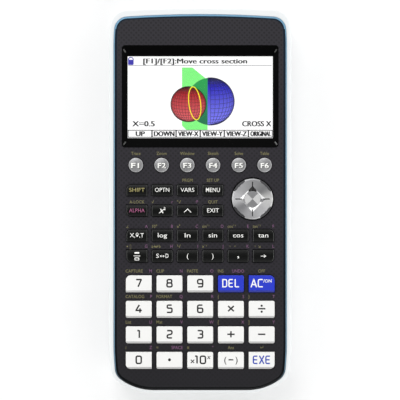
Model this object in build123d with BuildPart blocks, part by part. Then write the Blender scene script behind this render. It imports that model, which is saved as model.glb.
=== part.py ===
from build123d import *
from math import acos, cos, degrees, radians, sin, sqrt
import os

# Graphing calculator, lying on its back: X across, +Y towards the screen end, +Z up through the keys.
# The origin is under the middle of the case, on the surface that the rubber feet stand on.

# ---- outer case ----
body_width = 89.0
body_length = 188.5
side_rim = 2.2  # white rim left visible beside the face panel
top_rim = 3.45
bottom_rim = 1.45
back_round = 5.0  # rounding between the back and the sides
rim_round = 1.2
rim_step = 0.4  # face panel stands this far above the rim
body_top_radii = (120.0, 8.5, 900.0)  # side, corner and arched end
body_bottom_radii = (150.0, 8.0, 30.0)
panel_top_radii = (90.0, 6.5, 547.0)
panel_bottom_radii = (120.0, 7.0, 27.0)
top_lead = 5.0  # degrees that the side turns before the corner
bottom_turns = (6.0, 48.0)
panel_gap = 0.1  # face panel to rear case, all round
skirt_wall = 1.2
skirt_depth = 1.8
ledge_height = 5.4  # inner step of the rear case, above its outer back face
ledge_width = 2.2
panel_chamfer = 0.5

# ---- thicknesses, from the back to the key tops ----
foot_proud = 0.6
back_skin = 1.4
cover_thickness = 1.1
cell_diameter = 10.5  # AAA cell
cell_length = 44.5
cell_clearance = 0.2
bay_roof = 0.5
board_thickness = 0.8
mat_thickness = 0.4
key_travel = 1.0
dome_spare = 0.1  # height left in a dome when its key is pressed
dome_gap = 0.1
flange_thickness = 0.7
flange_gap = 0.1
panel_thickness = 1.1
key_proud = 1.3

# ---- screen ----
screen_top_margin = 15.1  # panel's top edge to the screen well
screen_side_margin = 4.0
well_side = 2.65  # width of the well's sloped sides
well_top = 5.2
well_bottom = 4.6
well_depth = 1.6
well_corner = 1.6
opening_corner = 0.6
window_corner = 1.0
display_border = 0.15  # picture to the window opening
display_ratio = 216 / 384
window_thickness = 0.9
window_lap = 3.3  # window glued behind the opening's edge
glass_thickness = 1.1
tray_thickness = 1.8
module_gap = 0.1
frame_wall = 1.0  # wall that locates the display module
frame_gap = 0.4
tray_edge = 0.8  # tray seen round the glass
display_tail = 20.0
tail_x = 6.0
flex_thickness = 0.3
tray_play = 0.2  # tray smaller than the window all round

# ---- keys ----
number_margin = 6.0  # panel's side edge to the first large key
number_gap = 2.4
number_height = 8.3
number_row_gap = 4.16
dark_margin = 6.35
dark_gap = 2.26
upper_height = 5.5
upper_row_gap = 4.52
middle_height = 6.0
middle_row_gap = 4.05
function_diameter = 7.0
function_margin = 7.37
function_crown = 0.28
function_top_gap = 5.05  # screen well to the function keys
function_gap = 6.01
middle_gap = 6.37
number_top_gap = 6.4
bottom_margin = 10.37
key_clearance = 0.3
flange_lap = 0.7
key_corner = 0.8
soft_corner = 2.4  # larger radius on the outer corners of a key block
key_edge = 0.3
key_wall = 1.0
plunger_radius = 1.4
hollow_drop = 0.3  # a cap is hollow up to this far below the panel's face
dark_crown_drop = 0.15  # crown of a dark key below the highest keys
dark_edge_drop = 0.6
number_slope = 1.0  # front slope of a large key, along and down
number_lean = 0.1  # fall of its top towards the front
function_drop = 0.2
function_shoulder = 0.55  # straight side of a function key above the panel
function_rim = 0.35
dome_base_radius = 2.2
dome_top_radius = 1.5
dome_wall_base = 0.3
dome_wall_top = 0.4

# ---- cursor pad ----
pad_gap = 2.45  # less than the width of the two key columns beside it
pad_shift = 0.8
pad_clearance = 0.6
pad_lap = 1.2
pad_wall = 1.2
pad_flange_drop = 0.7  # room above the flange for the tilt
pad_dish = 0.7
rocker_gap = 1.2
hub_radius = 3.0
rocker_thickness = 0.8
hub_drop = 0.6  # hub's top below the panel's face
pad_edge = (0.5, 0.45)  # steep bevel of the pad's edge, across and down
pad_shoulder = (0.9, 0.15)  # gentle bevel inside it
pad_dish_share = 0.4  # flat floor of the dish
pad_rise = 0.7  # pad's middle above the middle of the two rows beside it
pad_dome_inset = 1.6  # dome centres inside the rocker's edge
pad_row_gap = 3.95

# ---- battery bay and cover ----
cell_gap = 0.5
bay_wall = 1.2
bay_side_gap = 0.6
contact_depth = 3.2  # room for contacts at each end of a cell
contact_wall = 0.4
contact_height = 7.6
contact_lift = 0.6
contact_overhang = 8.0  # wider than its cells' centres
spring_base = 2.6
spring_tip = 2.0
dimple_tip = 1.4
tail_width = 2.0
tail_start = 4.0
cell_nub = 1.0
cell_nub_radius = 1.9
cell_edge = 0.5
bay_bottom_margin = 16.05  # bay to the bottom end of the case
cover_lap = 2.4
cover_gap = 0.2
base_height = 2.6  # thick foot of the bay's walls, above the back face
tab_width = 6.0
tab_reach = 1.8
tab_thickness = 1.0
latch_width = 12.0
latch_height = 6.0
latch_wall = 1.0
latch_nib = 0.4
latch_gap = 0.4
latch_nib_places = (0.7, 0.78, 0.9)  # nib's foot, tip and top, as shares of the latch's height
latch_slit = 0.8
latch_slit_reach = 6.0
grip_count = 5
grip_pitch = 1.6
grip_width = 0.8
grip_depth = 0.35
grip_start = 8.0  # first grip line above the cover's lower edge
cover_corner = 1.5

# ---- fasteners ----
screw_radius = 1.0
screw_head_radius = 1.9
screw_head_height = 1.3
screw_length = 9.0
head_seat = 3.4  # screw head's seat above the back face
boss_radius = 2.2
rear_boss_radius = 3.2
boss_joint = 7.4  # where the rear and front bosses meet, above the back face
hole_clearance = 0.15
top_boss_inset = (6.8, 7.3)  # from the panel's side and end edges
middle_boss_inset = 4.1
bottom_boss_inset = (7.8, 6.2)
foot_radius = 3.5
foot_sunk = 0.4
foot_inset = 18.5
foot_chamfer = 0.3
recess_length = 2.0  # cross recess in a screw's head
recess_width = 0.5
recess_depth = 0.7
pilot_end = 0.5  # pilot hole beyond the screw's tip

# ---- main board and its sockets ----
main_thickness = 1.2
main_margin = 3.3
main_corner = 4.0
main_lap = 1.5  # main board below the screen well
main_top_margin = 2.0
key_board_side = 1.1  # key board inside the front case's skirt
key_board_top_gap = 3.5
key_board_bottom_gap = 9.0
board_hole_gap = 0.5  # boards and mat round a boss
mat_margin = 1.0
usb_width = 7.7
usb_height = 3.9
usb_length = 9.2
usb_x = -14.0
socket_setback = 1.0  # socket mouths behind the case's end face
socket_clearance = 0.35
socket_wall = 0.4
jack_x = 14.0
jack_bore = 2.5
jack_body = (7.0, 9.0, 5.0)
jack_nose_radius = 2.5
jack_nose_length = 3.6
jack_back = 1.0  # solid back of the jack socket
restart_x = -22.0
restart_hole_radius = 1.3
switch_size = 4.5
switch_height = 1.5
switch_button_radius = 1.1
switch_button_height = 0.8
usb_tongue = (4.8, 1.0)
usb_corner = 0.6
socket_back = 2.0  # solid back of the usb socket
ribbon_left = -14.0
ribbon_width = 10.0
ribbon_thickness = 0.3

# ---- heights worked out from those above ----
back_z = foot_proud
skin_z = back_z + back_skin
cell_z = back_z + cover_thickness + cell_clearance + cell_diameter / 2
roof_z = cell_z + cell_diameter / 2 + cell_clearance / 2
board_z = roof_z + bay_roof
mat_z = board_z + board_thickness
sheet_z = mat_z + mat_thickness
dome_height = key_travel + dome_spare
key_z = sheet_z + dome_height + dome_gap
flange_z = key_z + flange_thickness
underside_z = flange_z + flange_gap
face_z = underside_z + panel_thickness
top_z = face_z + key_proud
hollow_z = face_z - hollow_drop
rim_z = face_z - rim_step
ledge_z = back_z + ledge_height
joint_z = back_z + boss_joint
opening_z = face_z - well_depth
glass_z = opening_z - window_thickness - module_gap - glass_thickness
tray_z = glass_z - tray_thickness
main_top_z = joint_z + main_thickness
usb_z = main_top_z + usb_height / 2
jack_z = main_top_z + jack_body[2] / 2

# ---- places worked out from the case ----
case_end = body_length / 2
panel_half = body_width / 2 - side_rim
panel_top = case_end - top_rim
panel_bottom = -case_end + bottom_rim
well_half = panel_half - screen_side_margin
opening_half = well_half - well_side
picture_width = 2 * (opening_half - display_border)
opening_height = picture_width * display_ratio + 2 * display_border
well_top_y = panel_top - screen_top_margin
opening_top_y = well_top_y - well_top
opening_bottom_y = opening_top_y - opening_height
well_bottom_y = opening_bottom_y - well_bottom
screen_y = (opening_top_y + opening_bottom_y) / 2
restart_y = screen_y

# Rows share the length between the screen well and the bottom margin.
keypad_rows = (
    function_top_gap + function_diameter + function_gap + 2 * upper_height + upper_row_gap + middle_gap
    + 2 * middle_height + middle_row_gap + number_top_gap + 4 * number_height + 3 * number_row_gap
)
row_fit = (well_bottom_y - panel_bottom - bottom_margin) / keypad_rows
function_size = function_diameter * row_fit
function_y = well_bottom_y - (function_top_gap + function_diameter / 2) * row_fit
upper_size = upper_height * row_fit
upper_y = function_y - (function_diameter / 2 + function_gap + upper_height / 2) * row_fit
upper_pitch = (upper_height + upper_row_gap) * row_fit
middle_size = middle_height * row_fit
middle_y = upper_y - upper_pitch - (upper_height / 2 + middle_gap + middle_height / 2) * row_fit
middle_pitch = (middle_height + middle_row_gap) * row_fit
number_size = number_height * row_fit
number_y = middle_y - middle_pitch - (middle_height / 2 + number_top_gap + number_height / 2) * row_fit
number_pitch = (number_height + number_row_gap) * row_fit

# Columns share the panel's width.
dark_width = (2 * (panel_half - dark_margin) - 5 * dark_gap) / 6
dark_pitch = dark_width + dark_gap
number_width = (2 * (panel_half - number_margin) - 4 * number_gap) / 5
number_step = number_width + number_gap
function_pitch = (2 * (panel_half - function_margin) - function_size) / 5
dark_left = -2.5 * dark_pitch
number_left = -2 * number_step
function_left = -2.5 * function_pitch

pad_column = dark_width + dark_pitch - pad_gap
pad_room = function_y - middle_y - (function_size + middle_size) / 2 - 2 * pad_row_gap * row_fit
pad_radius = min(pad_column, pad_room) / 2
rocker_radius = pad_radius - pad_wall - rocker_gap
pad_contact_radius = rocker_radius - pad_dome_inset
pad_x = 2 * dark_pitch + pad_shift
pad_y = upper_y - upper_pitch / 2 + pad_rise * row_fit
pad_flange_z = flange_z - pad_flange_drop
pad_bottom_z = pad_flange_z - flange_thickness
rocker_z = pad_bottom_z + dome_gap
hub_z = rocker_z + rocker_thickness

cell_pitch = cell_diameter + cell_gap
bay_half = 1.5 * cell_pitch + cell_diameter / 2 + bay_side_gap
bay_length = cell_length + 2 * contact_depth
bay_bottom_y = -case_end + bay_bottom_margin
bay_top_y = bay_bottom_y + bay_length
cover_half = bay_half + cover_lap
cover_top_y = bay_top_y - cover_gap
cover_bottom_y = bay_bottom_y - cover_lap
pocket_low = cover_bottom_y - latch_gap
pocket_high = cover_bottom_y + latch_nib + latch_wall + latch_gap
cell_places = [(i - 1.5) * cell_pitch for i in range(4)]
tab_places = [-cell_pitch, cell_pitch]
tail_places = [cell_places[0], cell_places[3]]

top_boss = (panel_half - top_boss_inset[0], panel_top - top_boss_inset[1])
middle_boss_y = function_y - (function_diameter + function_gap) / 2 * row_fit
middle_boss = (panel_half - middle_boss_inset, middle_boss_y)
bottom_boss = (panel_half - bottom_boss_inset[0], panel_bottom + bottom_boss_inset[1])
boss_places = [(s * x, y) for x, y in (top_boss, middle_boss, bottom_boss) for s in (-1, 1)]
foot_x = (cover_half + cover_gap + body_width / 2 - back_round) / 2
foot_rows = (panel_bottom + foot_inset, panel_top - foot_inset)
foot_places = [(s * foot_x, y) for y in foot_rows for s in (-1, 1)]

main_half = panel_half - main_margin
main_bottom_y = well_bottom_y - main_lap
main_top_y = panel_top - main_top_margin
socket_y = case_end - socket_setback
key_board_half = panel_half - skirt_wall - key_board_side
key_board_top = well_bottom_y - key_board_top_gap
key_board_bottom = panel_bottom + key_board_bottom_gap


def save(part, name):
    part.label = name
    export_step(part, f"parts/{name}.step")


def facing_end(x, y, z):
    """Plane square to the case's length, looking towards the bottom end."""
    return Plane((x, y, z), x_dir=(1, 0, 0), z_dir=(0, -1, 0))


def facing_side(x, y, z):
    """Plane square to the case's width; its own axes are Y and Z."""
    return Plane((x, y, z), x_dir=(0, 1, 0), z_dir=(1, 0, 0))


# ---- outlines ----


def rounded_end(half, end, radii, turns):
    """Points and radii of one end of the case's outline, from its side to its middle."""
    angles = [0.0, turns[0], turns[0] + turns[1], 90.0]
    x, y = half, end
    for radius, start, stop in zip(radii, angles, angles[1:]):
        y -= radius * (sin(radians(stop)) - sin(radians(start)))
    corners = [(x, y)]
    middles = []
    for radius, start, stop in zip(radii, angles, angles[1:]):
        half_way = (start + stop) / 2
        step_x = [radius * (cos(radians(start)) - cos(radians(a))) for a in (half_way, stop)]
        step_y = [radius * (sin(radians(a)) - sin(radians(start))) for a in (half_way, stop)]
        middles.append((x - step_x[0], y + step_y[0]))
        x, y = x - step_x[1], y + step_y[1]
        corners.append((x, y))
    return corners, middles


def case_outline(half, top, bottom, top_radii, bottom_radii, grow=0.0):
    """Outline of the case or the panel: an arched top, soft lower corners, and a flat bottom edge."""
    side, corner, crown = (radius + grow for radius in top_radii)
    half, top, bottom = half + grow, top + grow, bottom - grow
    reach = half - side * (1 - cos(radians(top_lead))) - corner * cos(radians(top_lead))
    shoulder = degrees(acos(reach / (crown - corner)))
    upper = rounded_end(half, top, (side, corner, crown), (top_lead, shoulder - top_lead))
    lower = rounded_end(half, -bottom, [radius + grow for radius in bottom_radii], bottom_turns)
    with BuildSketch() as shape:
        with BuildLine():
            for side_sign in (1, -1):
                for (corners, middles), up in ((upper, 1), (lower, -1)):
                    for a, m, b in zip(corners, middles, corners[1:]):
                        ends = [(side_sign * px, up * py) for px, py in (a, m, b)]
                        if up > 0 and b is corners[-1]:
                            ends[2] = (0.0, top)
                        ThreePointArc(*ends)
                Line((side_sign * half, upper[0][0][1]), (side_sign * half, -lower[0][0][1]))
            Line((lower[0][-1][0], bottom), (-lower[0][-1][0], bottom))
        make_face()
    return shape.sketch


def body_outline(grow=0.0):
    return case_outline(body_width / 2, case_end, -case_end, body_top_radii, body_bottom_radii, grow)


def panel_outline(grow=0.0):
    return case_outline(panel_half, panel_top, panel_bottom, panel_top_radii, panel_bottom_radii, grow)


def key_outline(width, height, soft=None, grow=0.0):
    """A key seen from above, with one larger corner where soft is given as the signs of its corner."""
    with BuildSketch() as shape:
        Rectangle(width + 2 * grow, height + 2 * grow)
        corners = shape.vertices()
        if soft:
            outer = corners.sort_by_distance((soft[0] * width, soft[1] * height, 0))[0:1]
            fillet(outer, soft_corner * min(row_fit, 1.0) + grow)
            corners = [v for v in corners if v not in outer]
        fillet(corners, key_corner + grow)
    return shape.sketch


# ---- where each key is, and its shape ----

soft_corners = {
    "shift": (-1, 1), "alpha": (-1, -1), "x_theta_t": (-1, 1), "fraction": (-1, -1), "tan": (1, 1),
    "arrow": (1, -1), "7": (-1, 1), "ac": (1, 1), "0": (-1, -1), "exe": (1, -1),
}
upper_rows = (("shift", "optn", "vars", "menu"), ("alpha", "square", "power", "exit"))
middle_rows = (
    ("x_theta_t", "log", "ln", "sin", "cos", "tan"),
    ("fraction", "s_d", "open_bracket", "close_bracket", "comma", "arrow"),
)
number_rows = (
    ("7", "8", "9", "del", "ac"),
    ("4", "5", "6", "multiply", "divide"),
    ("1", "2", "3", "plus", "minus"),
    ("0", "point", "times_ten", "negative", "exe"),
)


def key_block(rows, left, step, top, pitch, width, height):
    """Name, place and size of every key in a block of rows."""
    for row, names in enumerate(rows):
        for column, name in enumerate(names):
            yield name, left + column * step, top - row * pitch, width, height


dark_keys = [
    *key_block(upper_rows, dark_left, dark_pitch, upper_y, upper_pitch, dark_width, upper_size),
    *key_block(middle_rows, dark_left, dark_pitch, middle_y, middle_pitch, dark_width, middle_size),
]
number_keys = [
    *key_block(number_rows, number_left, number_step, number_y, number_pitch, number_width, number_size)
]
function_places = [(function_left + i * function_pitch, function_y) for i in range(6)]
dome_places = [(x, y) for _, x, y, _, _ in dark_keys + number_keys] + function_places
pad_domes = [
    (pad_x + dx * pad_contact_radius, pad_y + dy * pad_contact_radius)
    for dx, dy in ((1, 0), (0, 1), (-1, 0), (0, -1))
]


# ---- rear case ----


def make_rear_case():
    with BuildPart() as case:
        with BuildSketch(Plane.XY.offset(back_z)):
            add(body_outline())
        extrude(amount=rim_z - back_z)
        fillet(case.faces().sort_by(Axis.Z)[0].edges(), back_round)
        fillet(case.faces().sort_by(Axis.Z)[-1].edges(), rim_round)
        # open box: a wide upper part and a narrower lower part, with a ledge between them
        with BuildSketch(Plane.XY.offset(ledge_z)):
            add(panel_outline(panel_gap))
        extrude(amount=top_z - ledge_z, mode=Mode.SUBTRACT)
        with BuildSketch(Plane.XY.offset(skin_z)):
            add(panel_outline(panel_gap - ledge_width))
        extrude(amount=ledge_z - skin_z, mode=Mode.SUBTRACT)
        # screw bosses
        for x, y in boss_places:
            with BuildSketch(Plane((x, y, skin_z - cell_clearance))):
                Circle(rear_boss_radius)
            extrude(amount=joint_z - skin_z + cell_clearance)
        # battery bay: thick foot, walls and roof
        middle = (0, (bay_top_y + bay_bottom_y) / 2)
        with BuildSketch(Plane((0, 0, skin_z - cell_clearance))):
            with Locations((0, (bay_top_y + cover_bottom_y) / 2)):
                Rectangle(2 * (cover_half + bay_wall), bay_top_y - cover_bottom_y + 2 * bay_wall)
        extrude(amount=base_height - back_skin + cell_clearance)
        with BuildSketch(Plane((0, 0, back_z + base_height))):
            with Locations(middle):
                Rectangle(2 * (bay_half + bay_wall), bay_length + 2 * bay_wall)
        extrude(amount=board_z - back_z - base_height)
        # latch pocket's wall, beyond the bay
        with BuildSketch(Plane((0, 0, back_z + base_height))):
            with Locations((0, (pocket_low - bay_wall + bay_bottom_y) / 2)):
                Rectangle(latch_width + 2 * (bay_wall + latch_gap), bay_bottom_y - pocket_low + bay_wall)
        extrude(amount=latch_height + cover_gap + bay_wall - base_height)
        with BuildSketch(Plane((0, 0, 0))):
            with Locations(middle):
                Rectangle(2 * bay_half, bay_length)
        extrude(amount=roof_z, mode=Mode.SUBTRACT)
        with BuildSketch(Plane((0, 0, 0))):
            with Locations((0, (bay_top_y + cover_bottom_y - cover_gap) / 2)):
                Rectangle(2 * (cover_half + cover_gap), bay_top_y - cover_bottom_y + cover_gap)
        extrude(amount=back_z + cover_thickness + cover_gap / 2, mode=Mode.SUBTRACT)
        # slots for the cover's tabs, pocket for its latch
        with BuildSketch(Plane((0, 0, skin_z))):
            for x in tab_places:
                with Locations((x, bay_top_y + bay_wall / 2)):
                    Rectangle(tab_width + 4 * hole_clearance, bay_wall + cover_gap)
        extrude(amount=2 * tab_thickness, mode=Mode.SUBTRACT)
        with BuildSketch(Plane((0, 0, 0))):
            with Locations((0, (pocket_low + pocket_high) / 2)):
                Rectangle(latch_width + 2 * latch_gap, pocket_high - pocket_low)
        extrude(amount=back_z + latch_height + cover_gap, mode=Mode.SUBTRACT)
        # slots in the roof for the contact tails
        with BuildSketch(Plane((0, 0, cell_z))):
            for x in tail_places:
                with Locations((x, bay_bottom_y + contact_wall / 2)):
                    Rectangle(tail_width + 2 * hole_clearance, contact_wall)
        extrude(amount=mat_z - cell_z, mode=Mode.SUBTRACT)
        # screw holes from the back
        for x, y in boss_places:
            with BuildSketch(Plane((x, y, 0))):
                Circle(screw_head_radius + hole_clearance)
            extrude(amount=back_z + head_seat, mode=Mode.SUBTRACT)
            with BuildSketch(Plane((x, y, 0))):
                Circle(screw_radius + hole_clearance)
            extrude(amount=joint_z, mode=Mode.SUBTRACT)
        # pockets for the feet
        with BuildSketch(Plane.XY):
            with Locations(*foot_places):
                Circle(foot_radius)
        extrude(amount=back_z + foot_sunk, mode=Mode.SUBTRACT)
        # socket openings in the top end, restart hole in the back
        with BuildSketch(facing_end(usb_x, case_end, usb_z)):
            RectangleRounded(usb_width, usb_height, usb_corner)
            offset(amount=socket_clearance)
        extrude(amount=top_rim + ledge_width, mode=Mode.SUBTRACT)
        with BuildSketch(facing_end(jack_x, case_end, jack_z)):
            Circle(jack_nose_radius + socket_clearance)
        extrude(amount=top_rim + ledge_width, mode=Mode.SUBTRACT)
        with BuildSketch(Plane((restart_x, restart_y, 0))):
            Circle(restart_hole_radius)
        extrude(amount=skin_z, mode=Mode.SUBTRACT)
    save(case.part, "rear_case")


# ---- front case ----


def make_front_case():
    with BuildPart() as case:
        with BuildSketch(Plane.XY.offset(underside_z)):
            add(panel_outline())
        extrude(amount=panel_thickness)
        chamfer(case.faces().sort_by(Axis.Z)[-1].edges(), panel_chamfer)
        with BuildSketch(Plane.XY.offset(underside_z - skirt_depth)):
            add(panel_outline())
            add(panel_outline(-skirt_wall), mode=Mode.SUBTRACT)
        extrude(amount=skirt_depth)
        # frame that locates the display module, and the land that the window is glued to
        frame_half = opening_half + window_lap + frame_gap
        frame_height = opening_height + 2 * (window_lap + frame_gap)
        with BuildSketch(Plane((0, screen_y, tray_z))):
            Rectangle(2 * (frame_half + frame_wall), frame_height + 2 * frame_wall)
            Rectangle(2 * frame_half, frame_height, mode=Mode.SUBTRACT)
        extrude(amount=underside_z - tray_z)
        with BuildSketch(Plane((0, screen_y, opening_z))):
            Rectangle(2 * frame_half, frame_height)
        extrude(amount=underside_z - opening_z)
        # screw bosses
        for x, y in boss_places:
            foot = main_top_z if y > well_top_y else joint_z
            with BuildSketch(Plane((x, y, foot))):
                Circle(boss_radius)
            extrude(amount=underside_z - foot)
        # sloped screen well and the window opening under it
        with BuildSketch(Plane((0, screen_y, opening_z))):
            RectangleRounded(2 * opening_half, opening_height, opening_corner)
        with BuildSketch(Plane((0, (well_top_y + well_bottom_y) / 2, face_z))):
            RectangleRounded(2 * well_half, well_top_y - well_bottom_y, well_corner)
        loft(mode=Mode.SUBTRACT)
        # key openings
        with BuildSketch(Plane.XY.offset(underside_z)):
            for name, x, y, width, height in dark_keys + number_keys:
                with Locations((x, y)):
                    add(key_outline(width, height, soft_corners.get(name), key_clearance))
            with Locations(*function_places):
                Circle(function_size / 2 + key_clearance)
            with Locations((pad_x, pad_y)):
                Circle(pad_radius + pad_clearance)
        extrude(amount=panel_thickness, mode=Mode.SUBTRACT)
        # pilot holes for the screws
        for x, y in boss_places:
            with BuildSketch(Plane((x, y, joint_z))):
                Circle(screw_radius)
            extrude(amount=back_z + head_seat + screw_length + pilot_end - joint_z, mode=Mode.SUBTRACT)
    save(case.part, "front_case")


# ---- display ----


def make_display_window():
    with BuildPart() as window:
        with BuildSketch(Plane((0, screen_y, opening_z - window_thickness))):
            RectangleRounded(2 * opening_half, opening_height, window_corner)
            offset(amount=window_lap, kind=Kind.INTERSECTION)
        extrude(amount=window_thickness)
    save(window.part, "display_window")


def make_display_module():
    """Glass panel on its backlight tray, with the tail that runs down to the main board."""
    tray_width = 2 * (opening_half + window_lap - tray_play)
    tray_height = opening_height + 2 * (window_lap - tray_play)
    with BuildPart() as glass:
        with BuildSketch(Plane((0, screen_y, glass_z))):
            Rectangle(tray_width - 2 * tray_edge, tray_height - 2 * tray_edge)
        extrude(amount=glass_thickness)
    with BuildPart() as tray:
        with BuildSketch(Plane((0, screen_y, tray_z))):
            RectangleRounded(tray_width, tray_height, tray_edge)
        extrude(amount=tray_thickness)
    with BuildPart() as tail:
        with BuildSketch(Plane((tail_x, screen_y, main_top_z))):
            Rectangle(display_tail, flex_thickness)
        extrude(amount=tray_z - main_top_z)
    save(Compound([glass.part, tray.part, tail.part]), "display_module")


# ---- circuit boards ----

# chips on the main board: x, distance from the screen's middle, width, height, thickness
chips = (
    (-18.0, -6.0, 14.0, 14.0, 1.2),
    (-18.0, 11.0, 12.0, 8.0, 1.0),
    (22.0, -10.0, 8.0, 8.0, 1.0),
    (24.0, 6.0, 5.0, 3.2, 1.2),
)


def make_main_board():
    """Board behind the display with its chips, sockets and restart switch as separate solids."""
    with BuildPart() as board:
        with BuildSketch(Plane.XY.offset(joint_z)) as outline:
            with Locations((0, (main_top_y + main_bottom_y) / 2)):
                Rectangle(2 * main_half, main_top_y - main_bottom_y)
            fillet(outline.vertices(), main_corner)
            with Locations(*[place for place in boss_places if place[1] > well_top_y]):
                Circle(screw_radius + hole_clearance, mode=Mode.SUBTRACT)
        extrude(amount=main_thickness)
    packages = []
    for x, rise, width, height, thickness in chips:
        with BuildPart() as package:
            with BuildSketch(Plane((x, screen_y + rise, main_top_z))):
                Rectangle(width, height)
            extrude(amount=thickness)
        packages.append(package.part)
    with BuildPart() as usb:
        with BuildSketch(facing_end(usb_x, socket_y, usb_z)):
            RectangleRounded(usb_width, usb_height, usb_corner)
        extrude(amount=usb_length)
        with BuildSketch(facing_end(usb_x, socket_y, usb_z)):
            RectangleRounded(usb_width, usb_height, usb_corner)
            offset(amount=-socket_wall)
            Rectangle(*usb_tongue, mode=Mode.SUBTRACT)
        extrude(amount=usb_length - socket_back, mode=Mode.SUBTRACT)
    with BuildPart() as jack:
        with BuildSketch(Plane((jack_x, socket_y - jack_nose_length - jack_body[1] / 2, main_top_z))):
            Rectangle(jack_body[0], jack_body[1])
        extrude(amount=jack_body[2])
        with BuildSketch(facing_end(jack_x, socket_y, jack_z)):
            Circle(jack_nose_radius)
        extrude(amount=jack_nose_length)
        with BuildSketch(facing_end(jack_x, socket_y, jack_z)):
            Circle(jack_bore / 2)
        extrude(amount=jack_nose_length + jack_body[1] - jack_back, mode=Mode.SUBTRACT)
    with BuildPart() as switch:
        with BuildSketch(Plane((restart_x, restart_y, joint_z))):
            Rectangle(switch_size, switch_size)
        extrude(amount=-switch_height)
        with BuildSketch(Plane((restart_x, restart_y, joint_z - switch_height))):
            Circle(switch_button_radius)
        extrude(amount=-switch_button_height)
    save(Compound([board.part, *packages, usb.part, jack.part, switch.part]), "main_board")


def make_key_board():
    """Board under the key mat, and the ribbon that joins it to the main board."""
    with BuildPart() as board:
        with BuildSketch(Plane.XY.offset(board_z)):
            with Locations((0, (key_board_top + key_board_bottom) / 2)):
                Rectangle(2 * key_board_half, key_board_top - key_board_bottom)
            with Locations(*[place for place in boss_places if place[1] == middle_boss_y]):
                Circle(boss_radius + board_hole_gap, mode=Mode.SUBTRACT)
        extrude(amount=board_thickness)
    ribbon_y = main_bottom_y + 3.0
    pad_length = 4.0  # soldered length at each end
    slack = ribbon_thickness / 2
    with BuildPart() as ribbon:
        with BuildSketch(facing_side(ribbon_left, 0, 0)):
            with BuildLine():
                Polyline(
                    (key_board_top - pad_length, board_z),
                    (key_board_top - pad_length, board_z - ribbon_thickness),
                    (key_board_top - 1.0, board_z - ribbon_thickness),
                    (ribbon_y, main_top_z),
                    (ribbon_y + pad_length, main_top_z),
                    (ribbon_y + pad_length, main_top_z + ribbon_thickness),
                    (ribbon_y + slack, main_top_z + ribbon_thickness),
                    (key_board_top - 1.0 + slack, board_z),
                    close=True,
                )
            make_face()
        extrude(amount=ribbon_width)
    save(Compound([board.part, ribbon.part]), "key_board")


# ---- key mat ----


def make_key_mat():
    """One silicone sheet with a hollow dome under every key and four under the cursor pad."""
    pad_dome = pad_bottom_z - dome_gap - sheet_z
    bottom_centre = (Align.CENTER, Align.CENTER, Align.MIN)
    with BuildPart() as mat:
        with BuildSketch(Plane.XY.offset(mat_z)):
            with Locations((0, (key_board_top + key_board_bottom) / 2)):
                Rectangle(2 * key_board_half, key_board_top - key_board_bottom)
            offset(amount=-mat_margin)
            with Locations(*[place for place in boss_places if place[1] == middle_boss_y]):
                Circle(boss_radius + 2 * board_hole_gap, mode=Mode.SUBTRACT)
        extrude(amount=mat_thickness)
        for places, height in ((dome_places, dome_height), (pad_domes, pad_dome)):
            with Locations(*[(x, y, sheet_z) for x, y in places]):
                Cone(dome_base_radius, dome_top_radius, height, align=bottom_centre)
            with Locations(*[(x, y, mat_z) for x, y in places]):
                Cone(dome_base_radius - dome_wall_base, dome_top_radius - dome_wall_top,
                     height + mat_thickness - dome_wall_top, align=bottom_centre, mode=Mode.SUBTRACT)
    save(mat.part, "key_mat")


# ---- keys ----


def make_key(name, x, y, width, height, convex):
    """A hollow cap with a flange under the panel and a plunger on its dome."""
    soft = soft_corners.get(name)
    front, reach = height / 2, height / 2 + 2 * flange_lap
    with BuildPart() as key:
        with BuildSketch(Plane((x, y, key_z))):
            add(key_outline(width, height, soft))
        extrude(amount=top_z - key_z)
        if not convex:
            fillet(key.faces().sort_by(Axis.Z)[-1].edges(), key_edge)
        with BuildSketch(facing_side(x, y, 0)):
            with BuildLine():
                if convex:
                    edge = top_z - dark_edge_drop
                    Polyline((front, edge), (reach, edge), (reach, key_z), (-reach, key_z), (-reach, edge),
                             (-front, edge))
                    ThreePointArc((-front, edge), (0, top_z - dark_crown_drop), (front, edge))
                else:
                    edge = top_z - number_slope
                    Polyline((reach, key_z), (reach, top_z), (-front + number_slope, top_z - number_lean),
                             (-front, edge), (-reach, edge), (-reach, key_z), close=True)
            make_face()
        extrude(amount=width, both=True, mode=Mode.INTERSECT)
        if convex:
            fillet(key.faces().sort_by(Axis.Z)[-1].edges(), key_edge)
        with BuildSketch(Plane((x, y, key_z))):
            add(key_outline(width, height, soft, flange_lap))
        extrude(amount=flange_thickness)
        with BuildSketch(Plane((x, y, key_z))):
            Rectangle(width - 3 * key_wall, height - 2 * key_wall)
            Circle(plunger_radius, mode=Mode.SUBTRACT)
        extrude(amount=hollow_z - key_z, mode=Mode.SUBTRACT)
    save(key.part, f"key_{name}")


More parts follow.
